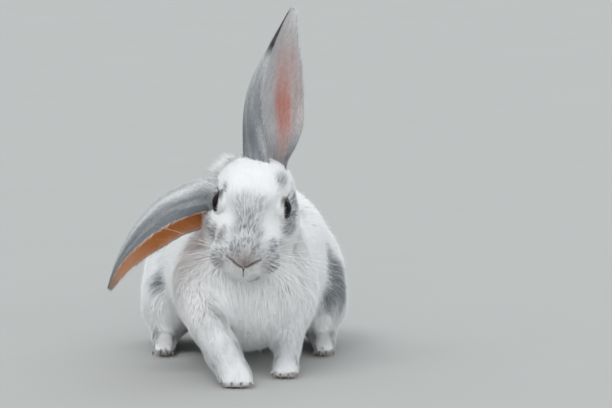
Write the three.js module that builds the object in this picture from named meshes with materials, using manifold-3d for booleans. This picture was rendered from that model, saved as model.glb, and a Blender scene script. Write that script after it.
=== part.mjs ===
// A life-size young domestic rabbit, still, on all fours with its right forepaw one step ahead.
// Its left ear stands up and its right ear hangs out to the side.
//
// Millimetres. +Z is up, the rabbit faces -Y and its left side is +X. Z = 0 is the floor under its feet.
// The surfaces are those of the coat. The body is a few soft shapes melted into one another: each piece
// is a sphere's grid laid round a spine and pushed out to that melted surface, then parted from its
// neighbours with thin cuts.

import * as THREE from 'three';
import { mergeVertices } from 'three/addons/utils/BufferGeometryUtils.js';
import Module from 'manifold-3d';

// ---- Driving dimensions ----------------------------------------------------------------------------

const PART_GAP = 0.4; // clearance between pieces that touch

const HEAD_PLACE = [6, -108, 126]; // midway between the eyes
const HEAD_PITCH = 34; // degrees, nose down
const HEAD_ROLL = 5.5; // degrees, crown towards the rabbit's left
const HEAD_YAW = -3.5; // degrees, nose towards the rabbit's right
const HEAD_LENGTH_BEHIND_EYES = 31; // where the head meets the neck

const EYE_RADIUS = 8.3;
const EYE_SPACING = 39.5; // between the eyeballs' centres
const EYE_SEAT = [-0.3, -1.8]; // how far behind and above midway between the eyes, on the head

const EAR_THICKNESS = 2.6; // with its short coat

const HIP_SHIFT = -2; // the hips swing a little to the rabbit's right

const TOES = 4; // on each foot
const CLAW_LENGTH = 8;
const CLAW_RADIUS = 1.5;

const COAT = {
  white: new THREE.MeshStandardMaterial({ color: 0xe9ebec, roughness: 0.9, metalness: 0 }),
  grey: new THREE.MeshStandardMaterial({ color: 0x8d9299, roughness: 0.9, metalness: 0 }),
};
const EYE_FINISH = new THREE.MeshStandardMaterial({ color: 0x160d0a, roughness: 0.05, metalness: 0 });
const CLAW_FINISH = new THREE.MeshStandardMaterial({ color: 0x5e4a3e, roughness: 0.45, metalness: 0 });

// ---- Soft shapes: a shape is a function that gives a point's distance to its surface, negative inside

const vector = (at) => new THREE.Vector3(...at);
const { clamp, degToRad, lerp } = THREE.MathUtils;

// An ellipsoid. Its distance is near enough for melting.
function egg(centre, radii, turnDegrees = [0, 0, 0]) {
  const middle = vector(centre);
  const size = vector(radii);
  const untwist = new THREE.Quaternion()
    .setFromEuler(new THREE.Euler(...turnDegrees.map(degToRad)))
    .invert();
  return (point) => {
    const scaled = point.clone().sub(middle).applyQuaternion(untwist).divide(size);
    const reach = scaled.length();
    const slope = scaled.divide(size).length();
    return slope > 0 ? (reach * (reach - 1)) / slope : -Math.min(...radii);
  };
}

// A rod with round ends whose radius changes evenly from one end to the other.
function rod(from, fromRadius, to, toRadius) {
  const start = vector(from);
  const span = vector(to).sub(start);
  return (point) => {
    const along = clamp(point.clone().sub(start).dot(span) / span.lengthSq(), 0, 1);
    const nearest = start.clone().addScaledVector(span, along);
    return point.distanceTo(nearest) - lerp(fromRadius, toRadius, along);
  };
}

// Shapes joined with a fillet of about the given size.
function melt(fillet, ...shapes) {
  return (point) =>
    shapes
      .map((shape) => shape(point))
      .reduce((near, far) => {
        const overlap = Math.max(fillet - Math.abs(near - far), 0);
        return Math.min(near, far) - (overlap * overlap) / (4 * fillet);
      });
}

// ---- Solids ----------------------------------------------------------------------------------------

const wasm = await Module();
wasm.setup();

function solidOf(geometry) {
  const bare = new THREE.BufferGeometry()
    .setAttribute('position', geometry.getAttribute('position'))
    .setIndex(geometry.index);
  const merged = mergeVertices(bare, 1e-3);
  return new wasm.Manifold(
    new wasm.Mesh({
      numProp: 3,
      vertProperties: merged.getAttribute('position').array,
      triVerts: new Uint32Array(merged.index.array),
    }),
  );
}

function meshOf(name, solid, material) {
  const { numProp, vertProperties, triVerts } = solid.getMesh();
  const geometry = new THREE.BufferGeometry()
    .setAttribute('position', new THREE.BufferAttribute(new Float32Array(vertProperties), numProp))
    .setIndex(new THREE.BufferAttribute(new Uint32Array(triVerts), 1));
  geometry.computeVertexNormals();
  const mesh = new THREE.Mesh(geometry, material);
  mesh.name = name;
  return mesh;
}

// Follows a ray out of a shape and returns where it leaves.
function exitOf(shape, origin, direction) {
  const STRIDE = 1.5;
  const LONGEST = 260;
  const at = (distance) => origin.clone().addScaledVector(direction, distance);
  let outside = 0;
  while (shape(at(outside)) < 0 && outside < LONGEST) outside += STRIDE;
  let inside = Math.max(outside - STRIDE, 0);
  for (let halving = 0; halving < 16; halving++) {
    const middle = (inside + outside) / 2;
    if (shape(at(middle)) < 0) inside = middle;
    else outside = middle;
  }
  return at(inside);
}

// A sphere's grid laid round a spine, with its poles at the spine's ends, pushed out to the shape and
// past it by the gap.
function wrapped(shape, spinePoints, sides, rings, gap = 0) {
  const spine = new THREE.CatmullRomCurve3(spinePoints.map(vector));
  const geometry = new THREE.SphereGeometry(1, sides, rings);
  const position = geometry.getAttribute('position');
  for (let i = 0; i < position.count; i++) {
    const unit = new THREE.Vector3().fromBufferAttribute(position, i);
    const along = Math.acos(clamp(unit.y, -1, 1)) / Math.PI;
    const backward = spine.getTangentAt(along).negate();
    const sideways = new THREE.Vector3(1, 0, 0).addScaledVector(backward, -backward.x).normalize();
    const upward = sideways.clone().cross(backward);
    const lean = unit.y ** 3;
    const spread = Math.sqrt(1 - lean * lean) / Math.max(Math.hypot(unit.x, unit.z), 1e-9);
    const direction = new THREE.Vector3()
      .addScaledVector(sideways, unit.x * spread)
      .addScaledVector(upward, unit.z * spread)
      .addScaledVector(backward, lean)
      .normalize();
    const surface = exitOf(shape, spine.getPointAt(along), direction).addScaledVector(direction, gap);
    position.setXYZ(i, surface.x, surface.y, surface.z);
  }
  return solidOf(geometry);
}

// All that lies on the side of a plane that its normal points to.
function halfSpace(point, normal) {
  const SIZE = 900;
  const direction = vector(normal).normalize();
  const box = new THREE.BoxGeometry(SIZE, SIZE, SIZE);
  box.applyQuaternion(new THREE.Quaternion().setFromUnitVectors(new THREE.Vector3(0, 0, 1), direction));
  const centre = vector(point).addScaledVector(direction, SIZE / 2 + PART_GAP / 2);
  box.translate(centre.x, centre.y, centre.z);
  return solidOf(box);
}

const opposite = (normal) => normal.map((n) => -n);
const keptAbove = (solid, { point, normal }) => solid.intersect(halfSpace(point, normal));
const keptBelow = (solid, { point, normal }) => solid.intersect(halfSpace(point, opposite(normal)));
const FLOOR = { point: [0, 0, -PART_GAP / 2], normal: [0, 0, 1] };
const standing = (solid) => keptAbove(solid, FLOOR);

// ---- Trunk and neck --------------------------------------------------------------------------------

const trunkShape = melt(
  26,
  egg([0, -60, 60], [46, 37, 44]), // chest
  egg([0, -24, 66], [56, 52, 51]), // ribs
  egg([0, 26, 69], [62, 54, 58]), // belly and loin
  egg([HIP_SHIFT, 68, 69], [66, 48, 60]), // hips
  egg([HIP_SHIFT, 102, 54], [52, 38, 45]), // rump
);
const ruffShape = egg([4, -68, 97], [38, 34, 40], [25, 0, 0]);
const torsoShape = melt(22, trunkShape, ruffShape);
const NECK_CUT = { point: [0, -66, 97], normal: [0, -0.55, 0.83] };
const TRUNK_SPINE = [[0, 100, 58], [0, 50, 66], [0, 0, 66], [0, -62, 62]];
const NECK_SPINE = [[2, -58, 78], [4, -74, 94], [5, -86, 106]];

// ---- Head: its shapes are placed in its own frame, with the eyes' midpoint at 0 and the nose at -Y

const headFrame = new THREE.Matrix4().compose(
  vector(HEAD_PLACE),
  new THREE.Quaternion().setFromEuler(
    new THREE.Euler(degToRad(HEAD_PITCH), degToRad(HEAD_ROLL), degToRad(HEAD_YAW), 'ZYX'),
  ),
  new THREE.Vector3(1, 1, 1),
);
const toHead = headFrame.clone().invert();
const onHead = (at) => vector(at).applyMatrix4(headFrame).toArray();
const headDirection = (way) => vector(way).transformDirection(headFrame).toArray();
const placedOnHead = (shape) => (point) => shape(point.clone().applyMatrix4(toHead));

const withSide = (side, [x, y, z]) => [side * x, y, z];
const pair = (centre, radii) => [1, -1].map((side) => egg(withSide(side, centre), radii));
const skullShape = melt(
  11,
  egg([0, 17, -2], [29, 29, 25]), // cranium
  rod([0, -6, 1], 15.2, [0, -38, -8], 12), // bridge of the nose
  egg([0, -36, -15], [20, 15, 13]), // muzzle
  egg([0, -31, -31], [16, 14.5, 13.5]), // chin
  egg([0, 4, -26], [24, 24, 18]), // throat
);
const faceShape = melt(
  8,
  skullShape,
  ...pair([12.8, -37, -19], [14, 12, 13]), // whisker pads
  ...pair([9.5, -19, -15], [11.5, 16, 12]), // upper jaws
  ...pair([18.5, 2, -19], [15.5, 22, 17]), // cheeks
  ...pair([20, 14, -12], [12.5, 14, 11.5]), // temples
  ...pair([12, 5, 8], [8.5, 11, 8.5]), // brows
  egg([12.5, 25, 2], [13, 14, 13]), // mound under the raised ear
  egg([-13, 25, -3], [12, 13, 12]), // mound under the hanging ear
);
const headShape = placedOnHead(faceShape);
const HEAD_CUT = {
  point: onHead([0, HEAD_LENGTH_BEHIND_EYES, 0]),
  normal: headDirection([0, -1, 0]),
};
const HEAD_SPINE = [[0, 28, -8], [0, 8, -8], [0, -16, -10], [0, -37, -15]].map(onHead);

// ---- Ears: a leaf rolled round its rib, a closed tube at the root and an open scoop further up ------

// Along the ear: the leaf's width on each side of the rib, and how far each side curls, in degrees.
const EAR_PROFILE = new THREE.CatmullRomCurve3(
  [
    [40, 170, 165],
    [40, 168, 150],
    [40, 156, 106],
    [40, 136, 68],
    [38, 119, 51],
    [33, 110, 46],
    [23.5, 100, 43],
    [12.5, 88, 42],
    [4, 60, 40],
  ].map(vector),
);

// The ear's closed surface. opening is the way it faces; inner is the sign of its inner side along
// tangent x opening.
function earSolid({ axis, opening, inner }) {
  const RINGS = 13;
  const ACROSS = 10;
  const curve = new THREE.CatmullRomCurve3(axis.map(vector));
  const rings = [];
  for (let i = 0; i <= RINGS; i++) {
    const along = i / RINGS;
    const tangent = curve.getTangentAt(along);
    const facing = vector(opening).addScaledVector(tangent, -vector(opening).dot(tangent)).normalize();
    const outward = tangent.clone().cross(facing).multiplyScalar(inner);
    const profile = EAR_PROFILE.getPoint(along);
    const rib = curve.getPointAt(along);
    const edge = [];
    const lining = [];
    for (let j = 0; j <= ACROSS; j++) {
      const across = (2 * j) / ACROSS - 1; // -1 is the inner margin, 1 the outer one
      const curl = degToRad(across < 0 ? profile.y : profile.z);
      const radius = profile.x / curl;
      const angle = across * curl;
      const thickness = EAR_THICKNESS * lerp(1, 0.55, across * across) * lerp(1, 0.7, along);
      const place = (r) =>
        rib
          .clone()
          .addScaledVector(outward, r * Math.sin(angle))
          .addScaledVector(facing, radius - r * Math.cos(angle));
      edge.push(place(radius));
      lining.push(place(Math.max(radius - thickness, radius * 0.3)));
    }
    rings.push({ edge, lining });
  }
  return stripSolid(rings, inner);
}

// A closed sheet with two faces from rings of paired points.
function stripSolid(rings, handedness) {
  const across = rings[0].edge.length;
  const loop = 2 * across;
  const points = rings.flatMap(({ edge, lining }) => [...edge, ...lining.slice().reverse()]);
  const faces = [];
  const quad = (a, b, c, d) => faces.push([a, b, c], [a, c, d]);
  for (let i = 0; i + 1 < rings.length; i++) {
    for (let j = 0; j < loop; j++) {
      const next = (j + 1) % loop;
      quad(i * loop + j, i * loop + next, (i + 1) * loop + next, (i + 1) * loop + j);
    }
  }
  const last = (rings.length - 1) * loop;
  for (let j = 0; j + 1 < across; j++) {
    quad(j, loop - 1 - j, loop - 2 - j, j + 1);
    quad(last + j + 1, last + loop - 2 - j, last + loop - 1 - j, last + j);
  }
  const turned = handedness > 0 ? faces.map(([a, b, c]) => [a, c, b]) : faces;
  const geometry = new THREE.BufferGeometry()
    .setAttribute('position', new THREE.Float32BufferAttribute(points.flatMap((p) => p.toArray()), 3))
    .setIndex(turned.flat());
  return solidOf(geometry);
}

const EAR_LEFT = {
  axis: [[6, -78, 132], [4.5, -79, 166], [7.5, -79, 196], [18.5, -76, 226], [34, -72, 261]],
  opening: [0.62, -0.78, 0],
  inner: 1,
};
const EAR_RIGHT = {
  axis: [[-8, -84, 141], [-30, -80, 140], [-53, -81, 130.5], [-74, -85, 111], [-89, -90, 86], [-97, -94, 64]],
  opening: [0.45, -0.5, -0.74],
  inner: -1,
};

// ---- Legs ------------------------------------------------------------------------------------------

// A hind leg: a broad thigh on the flank, the knee ahead of it and the shank folded back to the heel.
function hindLegShape(at) {
  return melt(
    14,
    egg(at([50, 74, 51]), [26, 45, 44]), // thigh
    egg(at([54, 38, 38]), [20, 24, 27]), // knee
    rod(at([57, 56, 30]), 18, at([53, 106, 22]), 14), // shank
  );
}
const HIND_LEG_SPINE = [[51, 96, 40], [54, 70, 42], [56, 46, 38]];

const FORELEGS = {
  left: {
    shape: melt(
      10,
      egg([34, -50, 60], [21, 29, 33]), // shoulder
      rod([33, -62, 42], 15, [30, -76, 18], 12), // forearm
    ),
    spine: [[33, -54, 62], [32, -64, 42], [30, -78, 16]],
    wrist: { point: [30, -79, 20], normal: [0, 0.3, 0.95] },
  },
  right: {
    shape: melt(
      10,
      egg([-34, -60, 60], [21, 30, 31]),
      rod([-30, -86, 46], 17, [-15, -123, 24], 14),
    ),
    spine: [[-33, -64, 60], [-30, -84, 46], [-16, -121, 24]],
    wrist: { point: [-14, -126, 26], normal: [-0.3, 0.55, 0.78] },
  },
};

// ---- Feet: a sole whose toes fan out from the knuckles, with a claw at the end of each --------------

// The toes' centre lines.
function toeLines({ knuckle: [x, y, z], spread, reach: [aside, ahead, down] }) {
  return Array.from({ length: TOES }, (_, i) => {
    const across = i - (TOES - 1) / 2;
    const shorter = 1 - 0.1 * across * across;
    return {
      from: [x + 0.8 * across * spread, y, z],
      to: [x + 1.12 * across * spread + aside, y - ahead * shorter, z - down],
    };
  });
}

const footShape = ({ sole, toes, toeRadii: [knuckleRadius, tipRadius] }) =>
  melt(4.5, sole, ...toeLines(toes).map(({ from, to }) => rod(from, knuckleRadius, to, tipRadius)));

const FOREFEET = {
  left: {
    sole: rod([30, -76, 15], 12.5, [29.5, -91, 9.2], 9.8),
    toes: { knuckle: [29, -93, 7.6], spread: 5, reach: [0, 13, 3.5] },
    toeRadii: [5.2, 4.6],
    spine: [[30, -74, 16], [29, -86, 11], [29, -96, 8]],
  },
  right: {
    sole: rod([-15, -122, 21], 14.5, [-8, -138, 12.4], 12),
    toes: { knuckle: [-6, -140, 9.6], spread: 5.9, reach: [1.5, 11, 5.2] },
    toeRadii: [5.8, 5],
    spine: [[-16, -120, 23], [-10, -133, 15], [-5, -143, 10]],
  },
};

const hindFoot = (at) => ({
  sole: rod(at([58, 106, 11.4]), 12, at([59, 32, 9.6]), 10.6),
  toes: { knuckle: at([59, 22, 8]), spread: 4.4, reach: [0, 17, 3.7] },
  toeRadii: [5.6, 4.8],
  spine: [[58, 106, 12], [58, 64, 10], [59, 18, 8]].map(at),
});

// A tapering claw that leaves a toe's tip ahead and bends down.
function clawSolid([x, y, z]) {
  const BEND = 2.6;
  const geometry = new THREE.ConeGeometry(CLAW_RADIUS, CLAW_LENGTH, 6, 2);
  const position = geometry.getAttribute('position');
  for (let i = 0; i < position.count; i++) {
    const reach = 0.5 + position.getY(i) / CLAW_LENGTH;
    const drop = BEND * reach * reach;
    position.setXYZ(i, x + position.getX(i), y - reach * CLAW_LENGTH, z - position.getZ(i) - drop);
  }
  return solidOf(geometry);
}

// ---- Tail ------------------------------------------------------------------------------------------

const tailShape = egg([HIP_SHIFT, 139, 62], [15, 14, 21], [-14, 0, 0]);
const TAIL_SPINE = [[HIP_SHIFT, 140, 54], [HIP_SHIFT, 139, 70]];

// ---- Assembly --------------------------------------------------------------------------------------

const rabbit = new THREE.Group();

function add(name, solid, material = COAT.white) {
  rabbit.add(meshOf(name, solid, material));
}

// A wrapped shape and the room it needs: the same surface, wider by the gap.
const piece = (...wrapping) => ({
  whole: wrapped(...wrapping),
  room: wrapped(...wrapping, PART_GAP),
});

// The main body that is left of a solid once the rooms are cut from it.
function cutBy(solid, rooms) {
  const bodies = rooms.reduce((left, room) => left.subtract(room), solid).decompose();
  return bodies.reduce((most, next) => (next.volume() > most.volume() ? next : most));
}

const trunk = piece(torsoShape, TRUNK_SPINE, 24, 20);
const head = piece(melt(16, headShape, ruffShape), HEAD_SPINE, 28, 24);
const neck = piece(melt(16, headShape, torsoShape), NECK_SPINE, 24, 18);
const headFront = keptAbove(head.room, HEAD_CUT);

const eyes = [1, -1].map((side) => {
  const seat = onHead(withSide(side, [EYE_SPACING / 2, ...EYE_SEAT]));
  const ball = (radius) => solidOf(new THREE.SphereGeometry(radius, 12, 8).translate(...seat));
  return { whole: ball(EYE_RADIUS), room: ball(EYE_RADIUS + PART_GAP) };
});
const eyeRooms = eyes.map(({ room }) => room);

add('head', cutBy(keptAbove(head.whole, HEAD_CUT), eyeRooms));
add('eye_left', eyes[0].whole, EYE_FINISH);
add('eye_right', eyes[1].whole, EYE_FINISH);
add('neck', keptBelow(keptAbove(neck.whole, NECK_CUT), HEAD_CUT).subtract(headFront));
add('trunk', keptBelow(trunk.whole, NECK_CUT).subtract(headFront));

for (const [name, ear] of [['ear_left', EAR_LEFT], ['ear_right', EAR_RIGHT]]) {
  add(name, cutBy(earSolid(ear), [head.room, neck.room, trunk.room, ...eyeRooms]), COAT.grey);
}

function addClaws(name, { toes, toeRadii: [, tipRadius] }, footRoom) {
  toeLines(toes).forEach(({ to: [x, y, z] }, i) => {
    const base = [x, y - tipRadius + 2, z];
    add('claw_' + name + '_' + (i + 1), cutBy(clawSolid(base), [footRoom]), CLAW_FINISH);
  });
}

for (const [side, word] of [[1, 'left'], [-1, 'right']]) {
  const at = ([x, y, z]) => [side * x + HIP_SHIFT, y, z];
  const hindSpec = hindFoot(at);
  const hind = piece(footShape(hindSpec), hindSpec.spine, 14, 13);
  const thigh = wrapped(hindLegShape(at), HIND_LEG_SPINE.map(at), 14, 13);
  add('hind_leg_' + word, cutBy(thigh, [trunk.room, hind.room]));
  add('hind_foot_' + word, standing(hind.whole));
  addClaws('hind_foot_' + word, hindSpec, hind.room);

  const { shape, spine, wrist } = FORELEGS[word];
  const foreSpec = FOREFEET[word];
  const paw = piece(footShape(foreSpec), foreSpec.spine, 16, 12);
  add('foreleg_' + word, keptAbove(cutBy(wrapped(shape, spine, 16, 12), [trunk.room]), wrist));
  add('forepaw_' + word, standing(keptBelow(paw.whole, wrist)));
  addClaws('forepaw_' + word, foreSpec, paw.room);
}

add('tail', wrapped(tailShape, TAIL_SPINE, 12, 9).subtract(trunk.room));

// The origin is on the floor, under the middle of the rabbit's box.
const middle = new THREE.Box3().setFromObject(rabbit).getCenter(new THREE.Vector3());
rabbit.position.set(-middle.x, -middle.y, 0);
rabbit.updateMatrixWorld(true);

export default rabbit;
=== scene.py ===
"""A life-size young rabbit in a still pose: its skin, eyes, claws and coat, built round its solid model."""

import math
from contextlib import contextmanager
from typing import NamedTuple

import bmesh
import bpy
import numpy as np
from mathutils import Euler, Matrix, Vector
from mathutils.bvhtree import BVHTree
from mathutils.kdtree import KDTree


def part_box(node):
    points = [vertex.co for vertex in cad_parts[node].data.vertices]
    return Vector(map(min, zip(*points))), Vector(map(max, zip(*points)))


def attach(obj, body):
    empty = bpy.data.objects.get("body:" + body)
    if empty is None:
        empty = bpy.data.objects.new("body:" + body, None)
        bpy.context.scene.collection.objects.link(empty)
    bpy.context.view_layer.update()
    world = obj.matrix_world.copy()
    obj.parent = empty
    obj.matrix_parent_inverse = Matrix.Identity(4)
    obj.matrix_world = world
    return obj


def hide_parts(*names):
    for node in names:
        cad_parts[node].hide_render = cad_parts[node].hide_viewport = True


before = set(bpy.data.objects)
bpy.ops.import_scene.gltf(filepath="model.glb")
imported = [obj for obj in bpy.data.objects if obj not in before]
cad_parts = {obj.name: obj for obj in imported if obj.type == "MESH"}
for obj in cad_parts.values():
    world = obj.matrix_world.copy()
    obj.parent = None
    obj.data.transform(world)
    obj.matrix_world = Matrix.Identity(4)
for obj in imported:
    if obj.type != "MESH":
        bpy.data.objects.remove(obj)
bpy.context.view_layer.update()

MM = 0.001  # the numbers below are millimetres unless they say otherwise
random = np.random.default_rng(11)

# ---- Driving dimensions, in the solid model's own terms ----

HEAD_PITCH = 34  # degrees, nose down
HEAD_ROLL = 5.5  # degrees, crown towards the rabbit's left
HEAD_YAW = -3.5  # degrees, nose towards the rabbit's right
HEAD_PLACE = (6, -108, 126)  # midway between the eyes, before the model's origin was moved to its floor
EYE_RADIUS = 8.3
EYE_SEAT = (19.75, -0.3, -1.8)  # the left eyeball's centre on the head
EYE_AXIS = (0.945, -0.15, 0.27)  # the way the left eye looks, on the head
EYE_AHEAD = (0, -1, -0.4)  # the way from its middle to the corner of its lids by the nose

SIDES = {"left": 1, "right": -1}

# ---- Small helpers ----


def norm(vectors):
    """How long each vector is."""
    return np.linalg.norm(vectors, axis=-1)


def unit(vectors):
    return vectors / np.maximum(np.linalg.norm(vectors, axis=-1, keepdims=True), 1e-12)


def ease(low, high, values):
    """0 up to low, 1 from high on, and smooth between."""
    share = np.clip((values - low) / (high - low), 0, 1)
    return share * share * (3 - 2 * share)


def bell(distance, width):
    return np.exp(-((distance / width) ** 2))


def dot(a, b):
    return (a * b).sum(-1, keepdims=True)


def across_from(vectors, normals):
    """What is left of vectors along the surface with these normals, at length 1."""
    return unit(vectors - dot(vectors, normals) * normals)


def picked(record, chosen):
    """The chosen rows of a record of arrays."""
    columns = (picked(part, chosen) if isinstance(part, tuple) else part[chosen] for part in record)
    return type(record)(*columns)


def varied(count, least, spread):
    """Random numbers from least up to least + spread."""
    return least + spread * random.random(count)


def lattice(cell, seed):
    """One steady number from 0 to 1 for each whole-numbered cell of space, by a common integer hash."""
    key = cell[..., 0] * 73856093 ^ cell[..., 1] * 19349663 ^ cell[..., 2] * 83492791 ^ seed * 40503
    key = ((key ^ (key >> 13)) * 1274126177) & 0xFFFFFFFF
    key = ((key ^ (key >> 15)) * 2246822519) & 0xFFFFFFFF
    return (key >> 8) / 0xFFFFFF


def noise(points, size, seed):
    """Soft noise from 0 to 1 with lumps of about this size."""
    scaled = points / size
    cell = np.floor(scaled).astype(np.int64)
    share = scaled - cell
    share = share * share * (3 - 2 * share)
    total = np.zeros(len(points))
    for corner in np.ndindex(2, 2, 2):
        weight = np.prod(np.where(corner, share, 1 - share), axis=-1)
        total += weight * lattice(cell + corner, seed)
    return total


def vector_noise(points, size, seed):
    return np.stack([noise(points, size, seed + 7 * axis) for axis in range(3)], axis=1) * 2 - 1


# ---- Places: the model's own millimetres, and the head's, with 0 midway between the eyes ----

HEAD_TURN = np.array(Euler([math.radians(a) for a in (HEAD_PITCH, HEAD_ROLL, HEAD_YAW)], "XYZ").to_matrix())


def middle_of(node):
    low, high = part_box(node)
    return np.array((low + high) / 2) / MM


eyes_middle = (middle_of("eye_left") + middle_of("eye_right")) / 2
HEAD_ORIGIN = eyes_middle - HEAD_TURN @ np.array([0, EYE_SEAT[1], EYE_SEAT[2]])
MODEL_SHIFT = HEAD_ORIGIN - np.array(HEAD_PLACE)


def to_head(points):
    return (points - HEAD_ORIGIN) @ HEAD_TURN


def from_head(points):
    return np.asarray(points, float) @ HEAD_TURN.T + HEAD_ORIGIN


def turned_with_head(directions):
    return np.asarray(directions, float) @ HEAD_TURN.T


def from_model(points):
    return np.asarray(points, float) + MODEL_SHIFT


# ---- Meshes ----


def numbers(collection, name, width, kind=np.float32):
    """The numbers that each item of a mesh's collection has under this name, as one row for each."""
    flat = np.empty(len(collection) * width, kind)
    collection.foreach_get(name, flat)
    return flat.reshape(-1, width)


def put_numbers(collection, name, values, kind=np.float32):
    collection.foreach_set(name, np.asarray(values, kind).ravel())


def points_of(mesh):
    return numbers(mesh.vertices, "co", 3).astype(float) / MM


def move_points(mesh, points):
    put_numbers(mesh.vertices, "co", points * MM)
    mesh.update()


def normals_of(mesh):
    return numbers(mesh.vertex_normals, "vector", 3).astype(float)


def triangles_of(mesh):
    mesh.calc_loop_triangles()
    return numbers(mesh.loop_triangles, "vertices", 3, np.int32)


def edges_of(mesh):
    return numbers(mesh.edges, "vertices", 2, np.int32)


def set_vectors(mesh, name, values):
    put_numbers(mesh.attributes.new(name, "FLOAT_VECTOR", "POINT").data, "vector", values)


@contextmanager
def opened(mesh):
    """A bmesh of a mesh to work on, which goes back into the mesh afterwards."""
    work = bmesh.new()
    work.from_mesh(mesh)
    yield work
    work.to_mesh(mesh)
    work.free()


def shown(name, data):
    """A new object of the scene."""
    piece = bpy.data.objects.new(name, data)
    bpy.context.scene.collection.objects.link(piece)
    return piece


def tube_faces(rings, around, closed_ends=True):
    """Faces of a grid of rings, with the first and last ring each closed by one face if wanted."""
    faces = []
    for start in range(0, (rings - 1) * around, around):
        for i in range(around):
            j = (i + 1) % around
            faces.append([start + i, start + j, start + around + j, start + around + i])
    if closed_ends:
        faces.append(list(range(around))[::-1])
        faces.append([(rings - 1) * around + i for i in range(around)])
    return faces


def mesh_of_grid(name, grid, closed_ends=True):
    """A tube's mesh from an array of rings of points, its faces turned outward."""
    rings, around = grid.shape[:2]
    mesh = bpy.data.meshes.new(name)
    mesh.from_pydata((grid.reshape(-1, 3) * MM).tolist(), [], tube_faces(rings, around, closed_ends))
    with opened(mesh) as work:
        bmesh.ops.recalc_face_normals(work, faces=work.faces)
        bmesh.ops.triangulate(work, faces=work.faces)
    return mesh


def tree_of(points):
    """A tree that finds the nearest of some points."""
    tree = KDTree(len(points))
    for i, point in enumerate(points):
        tree.insert(point, i)
    tree.balance()
    return tree


def apply_modifiers(piece):
    depsgraph = bpy.context.evaluated_depsgraph_get()
    mesh = bpy.data.meshes.new_from_object(piece.evaluated_get(depsgraph))
    piece.modifiers.clear()
    piece.data = mesh


def combine(piece, mesh, operation):
    """Joins a closed mesh to a piece, or cuts it away."""
    tool = shown("tool", mesh)
    modifier = piece.modifiers.new("combine", "BOOLEAN")
    modifier.operation = operation
    modifier.solver = "MANIFOLD"
    modifier.object = tool
    apply_modifiers(piece)
    bpy.data.objects.remove(tool)


def relaxed(values, edges, weight, rounds):
    """Values at a mesh's points, drawn towards the mean of their neighbours' in each round."""
    count = len(values)
    start, end = edges.T
    degree = np.maximum(np.bincount(edges.ravel(), minlength=count), 1)[:, None]
    for _ in range(rounds):
        columns = [
            np.bincount(start, column[end], count) + np.bincount(end, column[start], count)
            for column in values.T
        ]
        values = values + weight * (np.stack(columns, axis=1) / degree - values)
    return values


# ---- The coat's map: how it lies and how long it is at named places ----


class Coat(NamedTuple):
    """A row of the tables below. In those of pairs the place is on the left side and is mirrored."""

    piece: str  # the coat piece that the place belongs to, in the tables without its coat_
    place: tuple  # on the coat's surface
    reach: float  # how far the place's values count
    comb: tuple  # the way the coat lies
    length: float  # of a tuft
    depth: float  # from the coat's surface to the skin
    width: float  # of a tuft
    density: float  # tufts for each square millimetre


HEAD_COAT = [
    ("face", (0, -50, -8), 8, (0, 0.6, 0.8), 2.2, 0.6, 0.24, 6.5),
    ("face", (0, -42, 4), 10, (0, 1, 0.35), 3.4, 1.0, 0.26, 6),
    ("face", (0, -22, 13), 13, (0, 1, 0.15), 4.8, 1.5, 0.28, 5.5),
    ("crown", (0, 0, 22), 15, (0, 1, 0.1), 6.5, 2.1, 0.3, 4.2),
    ("crown", (0, 24, 24), 14, (-0.1, 1, 0.1), 10, 3, 0.38, 2.8),
    ("face", (0, -46, -32), 8, (0, 0.3, -1), 3.5, 1.1, 0.26, 5.5),
    ("throat", (0, -34, -43), 10, (0, 0.8, -0.6), 7, 2.2, 0.38, 2.0),
    ("throat", (0, -8, -43), 16, (0, 1, -0.4), 12, 4, 0.46, 1.6),
]
HEAD_COAT_PAIRS = [
    ("face", (9, -49, -20), 6, (0.7, 0.2, -0.6), 2.6, 0.8, 0.24, 6.5),
    ("face", (14, -46, -9), 7, (0.8, 0.6, 0), 2.8, 0.9, 0.25, 6),
    ("cheek", (25, -37, -18), 9, (0.55, 0.8, -0.25), 4.5, 1.5, 0.28, 3.2),
    ("cheek", (20, -30, -32), 9, (0.4, 0.8, -0.5), 6, 2, 0.32, 2.6),
    ("cheek", (21, -20, -4), 10, (0.35, 1, -0.1), 4.5, 1.5, 0.28, 3.2),
    ("crown", (19, -4, 13), 8, (0.15, 1, 0.3), 4.5, 1.6, 0.28, 3.0),
    ("cheek", (29, -8, -16), 10, (0.3, 1, -0.25), 6.5, 2.2, 0.34, 2.6),
    ("crown", (29, 15, 2), 9, (0.1, 1, -0.1), 8, 2.8, 0.38, 2.2),
    ("cheek", (34, 10, -20), 13, (0.2, 1, -0.45), 12, 4, 0.42, 1.8),
    ("cheek", (26, -2, -36), 12, (0.2, 0.9, -0.6), 12, 4, 0.42, 1.8),
]
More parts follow.
